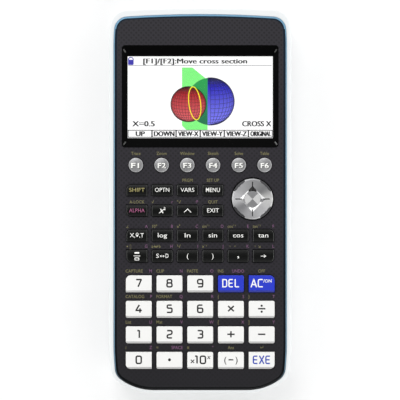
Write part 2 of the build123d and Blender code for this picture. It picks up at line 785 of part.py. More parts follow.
def make_function_key(number, x, y):
    """A round domed key."""
    radius = function_size / 2
    rim = radius - function_rim
    crown_z = top_z - function_drop
    rim_top_z = crown_z - function_crown
    shoulder_z = face_z + function_shoulder
    bulge = (rim**2 + function_crown**2) / (2 * function_crown)  # radius of the domed top
    half_way = crown_z - bulge + sqrt(bulge**2 - rim**2 / 4)
    with BuildPart() as key:
        with BuildSketch(facing_end(x, y, 0)):
            with BuildLine():
                Polyline((0, crown_z), (0, key_z), (plunger_radius, key_z), (plunger_radius, hollow_z),
                         (radius - key_wall, hollow_z), (radius - key_wall, key_z),
                         (radius + flange_lap, key_z), (radius + flange_lap, flange_z),
                         (radius, flange_z), (radius, shoulder_z))
                bevel_middle = (radius - 0.3 * function_rim, 0.3 * shoulder_z + 0.7 * rim_top_z)
                ThreePointArc((radius, shoulder_z), bevel_middle, (rim, rim_top_z))
                ThreePointArc((rim, rim_top_z), (rim / 2, half_way), (0, crown_z))
            make_face()
        revolve(axis=Axis((x, y, 0), (0, 0, 1)))
    save(key.part, f"key_f{number}")


# ---- cursor pad ----


def make_cursor_pad():
    """A dished round cap with a flange; it tilts about its middle."""
    with BuildPart() as pad:
        with BuildSketch(facing_end(pad_x, pad_y, 0)):
            with BuildLine():
                Polyline((0, top_z - pad_dish), (0, hollow_z), (pad_radius - pad_wall, hollow_z),
                         (pad_radius - pad_wall, pad_bottom_z), (pad_radius + pad_lap, pad_bottom_z),
                         (pad_radius + pad_lap, pad_flange_z), (pad_radius, pad_flange_z),
                         (pad_radius, top_z - pad_shoulder[1] - pad_edge[1]),
                         (pad_radius - pad_edge[0], top_z - pad_shoulder[1]),
                         (pad_radius - pad_edge[0] - pad_shoulder[0], top_z),
                         (pad_radius * pad_dish_share, top_z - pad_dish), (0, top_z - pad_dish))
            make_face()
        revolve(axis=Axis((pad_x, pad_y, 0), (0, 0, 1)))
    save(pad.part, "cursor_pad")


def make_cursor_rocker():
    """The disc under the pad that presses the four domes, with a hub that the pad rests over."""
    with BuildPart() as rocker:
        with BuildSketch(Plane((pad_x, pad_y, rocker_z))):
            Circle(rocker_radius)
        extrude(amount=rocker_thickness)
        with BuildSketch(Plane((pad_x, pad_y, hub_z))):
            Circle(hub_radius)
        extrude(amount=face_z - hub_drop - hub_z)
    save(rocker.part, "cursor_rocker")


# ---- battery cover, cells and contacts ----


def make_battery_cover():
    """Flat cover with two tabs at its upper end and a springy latch at its lower end."""
    with BuildPart() as cover:
        with BuildSketch(Plane.XY.offset(back_z)):
            with Locations((0, (cover_top_y + cover_bottom_y) / 2)):
                RectangleRounded(2 * cover_half, cover_top_y - cover_bottom_y, cover_corner)
        extrude(amount=cover_thickness)
        tab_low = back_skin + cover_gap / 2
        tab_high = tab_low + tab_thickness
        for x in tab_places:
            with BuildSketch(facing_side(x - tab_width / 2, cover_top_y, back_z)):
                with BuildLine():
                    Polyline((0, cover_thickness / 2), (0, tab_low), (tab_reach, tab_low),
                             (tab_reach, tab_high), (-latch_wall, tab_high),
                             (-latch_wall, cover_thickness / 2), close=True)
                make_face()
            extrude(amount=tab_width)
        nib_low, nib_tip, nib_high = [latch_height * share for share in latch_nib_places]
        with BuildSketch(facing_side(-latch_width / 2, cover_bottom_y, back_z)):
            with BuildLine():
                Polyline((latch_nib, cover_thickness / 2), (latch_nib, nib_low), (0, nib_tip),
                         (latch_nib, nib_high), (latch_nib, latch_height),
                         (latch_nib + latch_wall, latch_height),
                         (latch_nib + latch_wall, cover_thickness / 2), close=True)
            make_face()
        extrude(amount=latch_width)
        # slits that free the latch, and a grip of shallow grooves above it
        with BuildSketch(Plane.XY):
            for side in (-1, 1):
                with Locations((side * (latch_width / 2 + latch_slit), cover_bottom_y)):
                    Rectangle(latch_slit, 2 * latch_slit_reach)
        extrude(amount=latch_height, mode=Mode.SUBTRACT)
        for i in range(grip_count):
            with BuildSketch(Plane((0, cover_bottom_y + grip_start + i * grip_pitch, back_z))):
                RectangleRounded(latch_width, grip_width, grip_depth)
            extrude(amount=grip_depth, mode=Mode.SUBTRACT)
    save(cover.part, "battery_cover")


def make_batteries():
    """Four AAA cells side by side, in turn the other way round."""
    cells = []
    middle_y = (bay_top_y + bay_bottom_y) / 2
    for i, x in enumerate(cell_places):
        facing = 1 if i % 2 else -1
        start = middle_y - facing * cell_length / 2
        with BuildPart() as cell:
            with BuildSketch(Plane((x, start, cell_z), x_dir=(1, 0, 0), z_dir=(0, facing, 0))) as base:
                Circle(cell_diameter / 2)
            extrude(amount=cell_length - cell_nub)
            fillet(cell.edges().filter_by(GeomType.CIRCLE), cell_edge)
            with BuildSketch(base.workplanes[0].offset(cell_length - cell_nub)):
                Circle(cell_nub_radius)
            extrude(amount=cell_nub)
        cells.append(cell.part)
    save(Compound(cells), "batteries")


def make_battery_contacts():
    """Plates on the bay's end walls: springs at the flat ends of the cells, dimples at the raised ends."""
    solids = []
    pairs = {bay_top_y: ((0, 1), (2, 3)), bay_bottom_y: ((0,), (1, 2), (3,))}
    for wall_y, groups in pairs.items():
        inward = -1 if wall_y == bay_top_y else 1
        for group in groups:
            xs = [cell_places[i] for i in group]
            with BuildPart() as plate:
                wall = Plane((0, wall_y, cell_z), x_dir=(1, 0, 0), z_dir=(0, inward, 0))
                with BuildSketch(wall):
                    with Locations((sum(xs) / len(xs), inward * -contact_lift)):
                        Rectangle(xs[-1] - xs[0] + contact_overhang, contact_height)
                extrude(amount=contact_wall)
                for i in group:
                    raised = (i % 2 == 1) == (inward == -1)
                    with BuildSketch(wall):
                        with Locations((cell_places[i], 0)):
                            Circle(spring_base)
                    with BuildSketch(wall.offset(contact_depth)):
                        with Locations((cell_places[i], 0)):
                            Circle(dimple_tip if raised else spring_tip)
                    loft()
                if len(group) == 1:
                    tail_y = wall_y + inward * contact_wall / 2
                    with BuildSketch(Plane((xs[0], tail_y, cell_z + tail_start))):
                        Rectangle(tail_width, contact_wall)
                    extrude(amount=board_z - cell_z - tail_start)
            solids.append(plate.part)
    save(Compound(solids), "battery_contacts")


# ---- screws and feet ----


def make_case_screws():
    screws = []
    for x, y in boss_places:
        with BuildPart() as screw:
            with BuildSketch(Plane((x, y, back_z + head_seat))):
                Circle(screw_head_radius)
            extrude(amount=-screw_head_height)
            with BuildSketch(Plane((x, y, back_z + head_seat))):
                Circle(screw_radius)
            extrude(amount=screw_length)
            with BuildSketch(Plane((x, y, back_z + head_seat - screw_head_height))):
                Rectangle(recess_length, recess_width)
                Rectangle(recess_width, recess_length)
            extrude(amount=recess_depth, mode=Mode.SUBTRACT)
        screws.append(screw.part)
    save(Compound(screws), "case_screws")


def make_rubber_feet():
    feet = []
    for x, y in foot_places:
        with BuildPart() as foot:
            with BuildSketch(Plane((x, y, 0))):
                Circle(foot_radius)
            extrude(amount=back_z + foot_sunk)
            chamfer(foot.edges().sort_by(Axis.Z)[0], foot_chamfer)
        feet.append(foot.part)
    save(Compound(feet), "rubber_feet")


os.makedirs("parts", exist_ok=True)
make_rear_case()
make_front_case()
make_display_window()
make_display_module()
make_main_board()
make_key_board()
make_key_mat()
for name, x, y, width, height in dark_keys:
    make_key(name, x, y, width, height, convex=True)
for name, x, y, width, height in number_keys:
    make_key(name, x, y, width, height, convex=False)
for number, (x, y) in enumerate(function_places, 1):
    make_function_key(number, x, y)
make_cursor_pad()
make_cursor_rocker()
make_battery_cover()
make_batteries()
make_battery_contacts()
make_case_screws()
make_rubber_feet()
print("heights", back_z, board_z, key_z, underside_z, face_z, top_z, "row fit", row_fit)
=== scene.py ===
import math

import bpy
from mathutils import Matrix, Vector


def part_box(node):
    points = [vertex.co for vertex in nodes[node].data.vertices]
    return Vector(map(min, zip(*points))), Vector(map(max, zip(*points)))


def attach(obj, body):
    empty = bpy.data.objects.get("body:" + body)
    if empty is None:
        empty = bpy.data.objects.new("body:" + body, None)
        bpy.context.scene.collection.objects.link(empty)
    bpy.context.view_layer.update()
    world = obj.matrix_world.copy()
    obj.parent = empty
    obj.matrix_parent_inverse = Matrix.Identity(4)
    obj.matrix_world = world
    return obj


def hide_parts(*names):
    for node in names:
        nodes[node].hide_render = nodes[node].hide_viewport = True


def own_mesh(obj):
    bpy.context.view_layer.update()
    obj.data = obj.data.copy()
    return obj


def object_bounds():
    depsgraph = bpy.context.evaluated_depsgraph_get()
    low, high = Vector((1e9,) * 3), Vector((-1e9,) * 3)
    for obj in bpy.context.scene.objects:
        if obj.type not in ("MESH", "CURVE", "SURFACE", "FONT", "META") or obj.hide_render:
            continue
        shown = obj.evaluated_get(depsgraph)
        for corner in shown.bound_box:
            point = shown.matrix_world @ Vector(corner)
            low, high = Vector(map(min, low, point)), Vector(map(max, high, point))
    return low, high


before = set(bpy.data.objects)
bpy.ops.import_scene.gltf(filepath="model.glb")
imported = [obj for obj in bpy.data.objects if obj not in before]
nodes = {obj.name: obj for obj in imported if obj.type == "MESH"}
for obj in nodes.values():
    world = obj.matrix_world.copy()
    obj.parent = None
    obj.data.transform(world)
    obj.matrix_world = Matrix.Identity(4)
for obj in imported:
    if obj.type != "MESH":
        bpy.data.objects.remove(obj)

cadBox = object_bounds()
mm = 0.001
print("frame loaded:", len(nodes), "nodes")


# small helpers

def colour(code):
    # sRGB hex to linear
    values = [int(code[i:i + 2], 16) / 255 for i in (1, 3, 5)]
    return (*[v / 12.92 if v <= 0.04045 else ((v + 0.055) / 1.055) ** 2.4 for v in values], 1.0)


def addNode(tree, kind, settings=None, links=None):
    # settings: attribute or input name to value; links: input name to another node's output
    node = tree.nodes.new(kind)
    for name, value in (settings or {}).items():
        if isinstance(name, str) and hasattr(node, name):
            setattr(node, name, value)
        else:
            node.inputs[name].default_value = value
    for name, output in (links or {}).items():
        tree.links.new(output, node.inputs[name])
    return node


def newMaterial(name):
    # an empty material, its node tree, and the output that gives a piece's own coordinates
    material = bpy.data.materials.new(name)
    material.use_nodes = True
    tree = material.node_tree
    for node in list(tree.nodes):
        tree.nodes.remove(node)
    return material, tree, addNode(tree, "ShaderNodeTexCoord").outputs["Object"]


def finished(material, shader):
    addNode(material.node_tree, "ShaderNodeOutputMaterial", links={"Surface": shader.outputs[0]})
    return material


def ramp(tree, factor, stops, mode="LINEAR"):
    node = addNode(tree, "ShaderNodeValToRGB", links={"Fac": factor})
    node.color_ramp.interpolation = mode
    while len(node.color_ramp.elements) < len(stops):
        node.color_ramp.elements.new(0.5)
    for element, (place, value) in zip(node.color_ramp.elements, stops):
        element.position = place
        element.color = colour(value) if isinstance(value, str) else (value, value, value, 1)
    return node.outputs["Color"]


def alongCase(tree, place, low, high):
    # 0 at low and 1 at high, from the near end of the case to the far one
    split = addNode(tree, "ShaderNodeSeparateXYZ", links={"Vector": place})
    share = addNode(tree, "ShaderNodeMapRange", {"From Min": low, "From Max": high},
                    {"Value": split.outputs["Y"]})
    return share.outputs["Result"]


def mottled(tree, base, pattern, low, high):
    # a colour made a little darker and lighter by a pattern
    shade = addNode(tree, "ShaderNodeMapRange", {"To Min": low, "To Max": high},
                    {"Value": pattern.outputs["Fac"]})
    tone = addNode(tree, "ShaderNodeHueSaturation", {"Color": colour(base)},
                   {"Value": shade.outputs["Result"]})
    return tone.outputs["Color"]


def mouldedPlastic(name, base, roughness, grain, bump, tint=0.06, coat=0.0, specular=0.5):
    # moulded ABS: a fine spark-eroded grain, and a faint uneven tone as resin has
    material, tree, place = newMaterial(name)
    fine = addNode(tree, "ShaderNodeTexNoise", {"Scale": 1 / (grain * mm), "Detail": 3.0}, {"Vector": place})
    broad = addNode(tree, "ShaderNodeTexNoise", {"Scale": 1 / (22 * mm), "Detail": 2.0}, {"Vector": place})
    gloss = addNode(tree, "ShaderNodeMapRange", {"To Min": roughness * 0.85, "To Max": roughness * 1.15},
                    {"Value": fine.outputs["Fac"]})
    relief = addNode(tree, "ShaderNodeBump", {"Strength": bump, "Distance": 0.02 * mm},
                     {"Height": fine.outputs["Fac"]})
    shader = addNode(tree, "ShaderNodeBsdfPrincipled",
                     {"IOR": 1.54, "Coat Weight": coat, "Specular IOR Level": specular},
                     {"Base Color": mottled(tree, base, broad, 1 - tint, 1 + tint),
                      "Roughness": gloss.outputs["Result"], "Normal": relief.outputs["Normal"]})
    return finished(material, shader)


def printInk(name, base, glow=0.0):
    # screen-printed ink: flat colour broken by tiny pinholes
    material, tree, place = newMaterial(name)
    fine = addNode(tree, "ShaderNodeTexNoise", {"Scale": 1 / (0.12 * mm), "Detail": 2.0}, {"Vector": place})
    shader = addNode(tree, "ShaderNodeBsdfPrincipled",
                     {"Roughness": 0.45, "IOR": 1.5,
                      "Emission Color": colour(base), "Emission Strength": glow},
                     {"Base Color": mottled(tree, base, fine, 0.93, 1.05)})
    return finished(material, shader)


def platedMetal(name, base, roughness, metal=1.0, sectors=None, centre=(0, 0)):
    # bright metal plate over plastic: mirror-like with a soft satin spread; sectors are light and dark fans
    # painted into the colour as reflections, in turns about centre
    material, tree, place = newMaterial(name)
    fine = addNode(tree, "ShaderNodeTexNoise", {"Scale": 1 / (0.05 * mm), "Detail": 2.0}, {"Vector": place})
    broad = addNode(tree, "ShaderNodeTexNoise", {"Scale": 1 / (3.0 * mm), "Detail": 2.0}, {"Vector": place})
    gloss = addNode(tree, "ShaderNodeMapRange", {"To Min": roughness * 0.8, "To Max": roughness * 1.25},
                    {"Value": broad.outputs["Fac"]})
    relief = addNode(tree, "ShaderNodeBump", {"Strength": 0.08, "Distance": 0.01 * mm},
                     {"Height": fine.outputs["Fac"]})
    shader = addNode(tree, "ShaderNodeBsdfPrincipled", {"Base Color": colour(base), "Metallic": metal},
                     {"Roughness": gloss.outputs["Result"], "Normal": relief.outputs["Normal"]})
    if sectors:
        moved = addNode(tree, "ShaderNodeMapping", {"Location": (-centre[0], -centre[1], 0)},
                        {"Vector": place})
        fan = addNode(tree, "ShaderNodeTexGradient", {"gradient_type": "RADIAL"},
                      {"Vector": moved.outputs["Vector"]})
        tree.links.new(ramp(tree, fan.outputs["Fac"], sectors, "EASE"), shader.inputs["Base Color"])
    return finished(material, shader)


# dot pitch in mm, and the ground's and the dots' colours from the foot of the panel to its top, darker towards
# the foot as painted shade and lighter where the top is lit
panelDotsAndPaintedShade = {"pitch": 1.7,
               "ground": [(0.0, "#16151a"), (0.12, "#1b191f"), (0.35, "#252229"), (1.0, "#29272d")],
               "dots": [(0.0, "#111014"), (0.12, "#131216"), (0.35, "#18171b"), (1.0, "#1a191d")]}
# lacquer colours from the foot of the panel to its top, with painted shade near black at the foot and painted
# light towards the top
pearlLitToShadedStops = [(0.0, "#04070a"), (0.03, "#070c10"), (0.08, "#6f92a8"), (0.4, "#86abc0"), (0.75, "#86aec6"),
              (0.94, "#7aa6c2"), (1.0, "#6a98b8")]
navyLitToShadedStops = [(0.0, "#030507"), (0.05, "#04070a"), (0.12, "#090f16"), (0.5, "#0e1722"), (0.9, "#16222f"),
             (1.0, "#1a2938")]


def facePanelPlastic():
    # in-mould decorated polycarbonate: dark grey with a lattice of slightly darker, slightly sunk dots, drawn
    # coarser than the real ones so that they show
    material, tree, place = newMaterial("dottedPolycarbonate")
    diagonal = addNode(tree, "ShaderNodeMapping", {"Rotation": (0, 0, math.radians(45))}, {"Vector": place})
    dots = addNode(tree, "ShaderNodeTexVoronoi",
                   {"voronoi_dimensions": "2D", "Scale": 1 / (panelDotsAndPaintedShade["pitch"] * mm), "Randomness": 0.0},
                   {"Vector": diagonal.outputs["Vector"]})
    mark = addNode(tree, "ShaderNodeMapRange", {"From Min": 0.2, "From Max": 0.38},
                   {"Value": dots.outputs["Distance"]})
    # painted shade: ground and dots darker towards the foot of the panel, lighter towards the top where the
    # light falls
    along = alongCase(tree, place, cadBox[0][1], cadBox[1][1])
    base = addNode(tree, "ShaderNodeMix", {"data_type": "RGBA"})
    tree.links.new(mark.outputs["Result"], base.inputs[0])
    tree.links.new(ramp(tree, along, panelDotsAndPaintedShade["dots"]), base.inputs[6])
    tree.links.new(ramp(tree, along, panelDotsAndPaintedShade["ground"]), base.inputs[7])
    fine = addNode(tree, "ShaderNodeTexNoise", {"Scale": 1 / (0.09 * mm), "Detail": 3.0}, {"Vector": place})
    gloss = addNode(tree, "ShaderNodeMapRange", {"To Min": 0.38, "To Max": 0.5},
                    {"Value": fine.outputs["Fac"]})
    relief = addNode(tree, "ShaderNodeBump", {"Strength": 0.25, "Distance": 0.04 * mm},
                     {"Height": mark.outputs["Result"]})
    shader = addNode(tree, "ShaderNodeBsdfPrincipled", {"IOR": 1.58, "Specular IOR Level": 0.35},
                     {"Base Color": base.outputs[2], "Roughness": gloss.outputs["Result"],
                      "Normal": relief.outputs["Normal"]})
    return finished(material, shader)


def lacquerWithPaintedShade(name, stops):
    # pearl lacquer round the panel's edge, with painted light and shade: lightest towards the top, which faces
    # the light, and near black at the foot
    material, tree, place = newMaterial(name)
    base = ramp(tree, alongCase(tree, place, cadBox[0][1], cadBox[1][1]), stops)
    flake = addNode(tree, "ShaderNodeTexNoise", {"Scale": 1 / (0.06 * mm), "Detail": 1.0}, {"Vector": place})
    gloss = addNode(tree, "ShaderNodeMapRange", {"To Min": 0.22, "To Max": 0.38},
                    {"Value": flake.outputs["Fac"]})
    shader = addNode(tree, "ShaderNodeBsdfPrincipled", {"Metallic": 0.25, "Specular IOR Level": 0.3},
                     {"Base Color": base, "Roughness": gloss.outputs["Result"]})
    return finished(material, shader)


def clearAcrylic():
    # cast acrylic with a hard coat: almost invisible head on, glossy at a slant
    material, tree, place = newMaterial("clearAcrylic")
    haze = addNode(tree, "ShaderNodeTexNoise", {"Scale": 1 / (6 * mm)}, {"Vector": place})
    gloss = addNode(tree, "ShaderNodeMapRange", {"To Min": 0.015, "To Max": 0.04},
                    {"Value": haze.outputs["Fac"]})
    shader = addNode(tree, "ShaderNodeBsdfPrincipled",
                     {"Base Color": (1, 1, 1, 1), "IOR": 1.49, "Transmission Weight": 1.0},
                     {"Roughness": gloss.outputs["Result"]})
    return finished(material, shader)


def litCrystal(name, base, second=None, fade=None, third=None):
    # liquid crystal colour lit from behind, crossed by a fine grid; it can fade to a second one up the display
    material, tree, place = newMaterial(name)
    grid = addNode(tree, "ShaderNodeTexBrick",
                   {"Color1": (1, 1, 1, 1), "Color2": (1, 1, 1, 1), "Mortar": (0.8, 0.8, 0.8, 1),
                    "Scale": 1.0, "Mortar Size": 0.012 * mm,
                    "Brick Width": 0.186 * mm, "Row Height": 0.186 * mm, "offset": 0.0},
                   {"Vector": place})
    tint = addNode(tree, "ShaderNodeMix", {"data_type": "RGBA", "blend_type": "MULTIPLY", 0: 1.0})
    if second:
        shades = [(0.0, base), (0.8, second), (1.0, third or second)]
        tree.links.new(ramp(tree, alongCase(tree, place, *fade), shades), tint.inputs[6])
    else:
        tint.inputs[6].default_value = colour(base)
    tree.links.new(grid.outputs["Color"], tint.inputs[7])
    shader = addNode(tree, "ShaderNodeBsdfPrincipled",
                     {"Base Color": (0.01, 0.01, 0.01, 1), "Roughness": 0.5, "Emission Strength": 1.2},
                     {"Emission Color": tint.outputs[2]})
    return finished(material, shader)


facePlastic = facePanelPlastic()
pearlBlueWithPaintedShade = lacquerWithPaintedShade("pearlBlueLacquerPaintedShade", pearlLitToShadedStops)
navyWithPaintedShade = lacquerWithPaintedShade("deepNavyLacquerPaintedShade", navyLitToShadedStops)
wellPlastic = mouldedPlastic("satinBlackWell", "#020202", 0.5, 0.2, 0.05, specular=0.03)
# dark moulded plastic inside the case; also put on key and pad flanges as painted shade in the gaps round them
darkPlasticAndGapShade = mouldedPlastic("darkMouldedCarbonateAndGapShade", "#0b0b0c", 0.55, 0.12, 0.2, specular=0.25)
caseWhite = mouldedPlastic("whiteSatinAbs", "#eceff0", 0.42, 0.16, 0.18, tint=0.01)
keyWhite = mouldedPlastic("whiteKeyAbs", "#f3f3f1", 0.34, 0.1, 0.08, tint=0.015)
# darker copies of the white and blue key plastic: painted shade on the keys' near slopes
whiteSlopeShade = mouldedPlastic("whiteKeyAbsFrontSlopePaintedShade", "#c9c9c8", 0.34, 0.1, 0.08, tint=0.015)
blueSlopeShade = mouldedPlastic("blueKeyAbsFrontSlopePaintedShade", "#1b2a9a", 0.32, 0.1, 0.08, tint=0.03)
keyBlue = mouldedPlastic("blueKeyAbs", "#2a3cc8", 0.32, 0.1, 0.08, tint=0.03)
keyBlack = mouldedPlastic("blackKeyAbs", "#0b0c0b", 0.34, 0.1, 0.08, tint=0.05, specular=0.22)
# a lighter grey than the black keys: a painted highlight on their rounded left and right rims
keyRimHighlight = mouldedPlastic("keyRimPaintedHighlight", "#3c3d3c", 0.25, 0.1, 0.05, specular=0.6)
silverPlate = platedMetal("satinChromePlate", "#c9c9cb", 0.3, metal=0.75)
rubberBlack = mouldedPlastic("blackNitrileRubber", "#1d1d1e", 0.8, 0.2, 0.5)
siliconeGrey = mouldedPlastic("greySilicone", "#9a9c9e", 0.55, 0.25, 0.2)
screwSteel = platedMetal("blackZincSteel", "#4a4a4c", 0.35)
contactNickel = platedMetal("nickelPlatedSpringSteel", "#b9b6ad", 0.25)
socketSteel = platedMetal("tinPlatedSteel", "#b4b6b8", 0.3)
maskGreen = mouldedPlastic("greenSolderMask", "#1f5a34", 0.35, 0.3, 0.3, coat=0.3)
chipEpoxy = mouldedPlastic("blackMouldedEpoxy", "#171718", 0.6, 0.1, 0.3)
ribbonAmber = mouldedPlastic("amberPolyimideRibbon", "#8a5a22", 0.3, 0.3, 0.05, coat=0.4)
glassDark = mouldedPlastic("displayGlass", "#101214", 0.1, 0.5, 0.0, coat=0.5)
print("materials made")


# CAD nodes: materials by face

def dress(name, materials, choose=None):
    # materials on a CAD node; choose gives the index for a face's centre and normal
    mesh = nodes[name].data
    mesh.materials.clear()
    for material in materials:
        mesh.materials.append(material)
    for face in mesh.polygons:
        face.material_index = choose(face.center, face.normal) if choose else 0


def middleOf(node):
    low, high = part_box(node)
    return ((low.x + high.x) / 2, (low.y + high.y) / 2)


windowLow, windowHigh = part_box("display_window")
windowMiddle = (windowLow.y + windowHigh.y) / 2
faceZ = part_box("front_case")[1].z
wellReach = 4 * mm  # how far the well's slopes run past the window
bevelDepth = 0.52 * mm


def frontCaseFace(centre, normal):
    # face, then the well's slopes, then the bevel round the edge, then the inside
    if centre.z > faceZ - 0.01 * mm and normal.z > 0.9:
        return 0
    overWindow = (abs(centre.x) < windowHigh.x
                  and abs(centre.y - windowMiddle) < windowHigh.y - windowMiddle + wellReach)
    if overWindow and centre.z > windowHigh.z - 0.05 * mm and normal.z > 0.05:
        return 2
    return 1 if centre.z > faceZ - bevelDepth and normal.z > 0.5 else 3


mainLow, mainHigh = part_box("main_board")


def mainBoardFace(centre, normal):
    # laminate, then the USB socket's steel shell at the top end, then the link socket and the chips
    if centre.z < mainLow.z + 1.25 * mm:
        return 0
    return 1 if centre.y > mainHigh.y - 16 * mm and centre.x < 0 else 2


cells = {"diameter": 10.5 * mm, "sleeve": 21.4 * mm}
cellsLow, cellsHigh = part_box("batteries")
cellMiddle = (cellsLow.y + cellsHigh.y) / 2
cellPitch = (cellsHigh.x - cellsLow.x - cells["diameter"]) / 3


def cellSleeve(name, raisedEnd):
    # printed foil sleeve: dark body with a copper shoulder at the raised end, and a fine printed line between
    material, tree, place = newMaterial(name)
    half = 22 * mm * raisedEnd
    stops = [(0.0, "#1c2530"), (0.66, "#d8d8d2"), (0.69, "#b8672e"), (0.97, "#8a8a88")]
    base = ramp(tree, alongCase(tree, place, cellMiddle - half, cellMiddle + half), stops, "CONSTANT")
    wear = addNode(tree, "ShaderNodeTexNoise", {"Scale": 1 / (1.5 * mm), "Detail": 4.0}, {"Vector": place})
    gloss = addNode(tree, "ShaderNodeMapRange", {"To Min": 0.2, "To Max": 0.4},
                    {"Value": wear.outputs["Fac"]})
    shader = addNode(tree, "ShaderNodeBsdfPrincipled", {"Metallic": 0.5, "Coat Weight": 0.3},
                     {"Base Color": base, "Roughness": gloss.outputs["Result"]})
    return finished(material, shader)


def cellFace(centre, normal):
    # sleeves by turns, with their raised ends near and far, then the bare ends
    if abs(normal.y) > 0.4 or abs(centre.y - cellMiddle) > cells["sleeve"]:
        return 2
    return round((centre.x - cellsLow.x) / cellPitch - 0.48) % 2


keyBlock = {"blue": ("del", "ac"),
            "black": ("shift", "optn", "vars", "menu", "alpha", "square", "power", "exit",
                      "x_theta_t", "log", "ln", "sin", "cos", "tan",
                      "fraction", "s_d", "open_bracket", "close_bracket", "comma", "arrow"),
            "white": (*"0123456789", "multiply", "divide", "plus", "minus",
                      "point", "times_ten", "negative", "exe"),
            "silver": ("f1", "f2", "f3", "f4", "f5", "f6")}
# each key's cap colour, then its flange, dark as painted shade in the gap round the key, then its slope or
# rims, painted shade or a painted highlight
keyColoursAndPaintedLight = {"blue": (keyBlue, darkPlasticAndGapShade, blueSlopeShade), "black": (keyBlack, darkPlasticAndGapShade, keyRimHighlight),
             "white": (keyWhite, darkPlasticAndGapShade, whiteSlopeShade),
             "silver": (silverPlate, darkPlasticAndGapShade, silverPlate)}
flangeTop = faceZ - 1.2 * mm


def darkKeyFace(centre, normal):
    # flange, dark as painted shade in the gap round the key, then the rounded rims at a dark key's left and
    # right, a painted highlight, then its cap
    if centre.z < flangeTop + 0.02 * mm:
        return 1
    return 2 if normal.z > 0.2 and abs(normal.x) > 0.2 else 0


def paleKeyFace(centre, normal):
    # flange, dark as painted shade in the gap round the key, then the slope along a white or blue key's near
    # edge, darker as painted shade, then its cap
    if centre.z < flangeTop + 0.02 * mm:
        return 1
    return 2 if normal.y < -0.35 else 0


for name, material in {"rear_case": caseWhite, "battery_cover": caseWhite, "display_window": clearAcrylic(),
                       "rubber_feet": rubberBlack, "case_screws": screwSteel, "cursor_rocker": darkPlasticAndGapShade,
                       "battery_contacts": contactNickel, "key_mat": siliconeGrey}.items():
    dress(name, [material])
boardTop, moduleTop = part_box("key_board")[1].z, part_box("display_module")[1].z
dress("front_case", [facePlastic, pearlBlueWithPaintedShade, wellPlastic, darkPlasticAndGapShade], frontCaseFace)
dress("key_board", [maskGreen, ribbonAmber], lambda c, n: 1 if c.z < boardTop - 0.85 * mm else 0)
dress("display_module", [glassDark, screwSteel], lambda c, n: 0 if c.z > moduleTop - 1.2 * mm else 1)
dress("main_board", [maskGreen, socketSteel, chipEpoxy], mainBoardFace)
dress("batteries",
      [cellSleeve("sleeveRaisedEndNear", -1), cellSleeve("sleeveRaisedEndFar", 1), contactNickel],
      cellFace)
for finish, names in keyBlock.items():
    for name in names:
        dress("key_" + name, keyColoursAndPaintedLight[finish], darkKeyFace if finish == "black" else paleKeyFace)
print("CAD nodes dressed")


# lettering and flat shapes

fontCapHeight = 0.682  # of the built-in font at size 1


def alone(obj):
    bpy.ops.object.select_all(action="DESELECT")
    obj.select_set(True)
    bpy.context.view_layer.objects.active = obj


def toMesh(obj, material):
    # a text or curve object to a mesh at the origin
    alone(obj)
    bpy.ops.object.convert(target="MESH")
    mesh = bpy.context.object
    bpy.ops.object.transform_apply(location=True, rotation=True, scale=True)
    mesh.data.materials.clear()
    mesh.data.materials.append(material)
    return mesh


def lettering(words, cap, place, material, align="CENTER", weight=0.0, wide=1.0, fit=None, slant=0.0,
              thick=0.0):
    # words centred on place in height; cap is the capital height, fit the width they are stretched to
    curve = bpy.data.curves.new("lettering", "FONT")
    curve.body, curve.size, curve.align_x = words, cap / fontCapHeight, align
    curve.offset, curve.shear, curve.extrude = weight, slant, thick
    curve.resolution_u = 3
    text = bpy.data.objects.new("lettering", curve)
    bpy.context.scene.collection.objects.link(text)
    bpy.context.view_layer.update()
    text.scale.x = fit / text.dimensions.x if fit else wide
    text.location = (place[0], place[1] - cap / 2, place[2])
    return toMesh(text, material)


def path(points, closed=False):
    # a straight-sided curve through (x, y, z) points
    curve = bpy.data.curves.new("path", "CURVE")
    curve.dimensions = "3D"
    spline = curve.splines.new("POLY")
    spline.points.add(len(points) - 1)
    for point, place in zip(spline.points, points):
        point.co = (*place, 1)
    spline.use_cyclic_u = closed
    line = bpy.data.objects.new("path", curve)
    bpy.context.scene.collection.objects.link(line)
    return line


def filled(outline, z, material):
    shape = path([(x, y, 0) for x, y in outline], True)
    shape.data.dimensions = "2D"
    shape.data.fill_mode = "BOTH"
    shape.location.z = z
    return toMesh(shape, material)


def stroke(points, width, material, closed=False, thick=0.012 * mm):
    # a flat band along points, each (x, y, z)
    band = path(points, closed)
    band.data.twist_mode = "Z_UP"
    band.data.extrude = width / 2 - thick
    band.data.bevel_depth = thick
    band.data.bevel_resolution = 0
    band.data.use_fill_caps = not closed
    for point in band.data.splines[0].points:
        point.tilt = math.pi / 2
    return toMesh(band, material)


def fused(objects):
    alone(objects[0])
    for obj in objects:
        obj.select_set(True)
    bpy.ops.object.join()
    return bpy.context.object


def joined(objects, name, body):
    piece = fused(objects)
    piece.name = piece.data.name = name
    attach(piece, body)
    return piece


def rounded(points, radius, closed=False, steps=5):
    # corners of a path turned to arcs, as far as their sides allow
    bent = []
    for i, point in enumerate(points):
        corner = Vector(point)
        back, on = Vector(points[i - 1]) - corner, Vector(points[(i + 1) % len(points)]) - corner
        if not closed and i in (0, len(points) - 1) or back.angle(on) > math.radians(178):
            bent.append(tuple(corner))
            continue
        reach = min(radius, back.length / 2, on.length / 2)
        start, end = corner + back.normalized() * reach, corner + on.normalized() * reach
        for t in [k / steps for k in range(steps + 1)]:
            bent.append(tuple(start * (1 - t) ** 2 + corner * 2 * t * (1 - t) + end * t * t))
    return bent


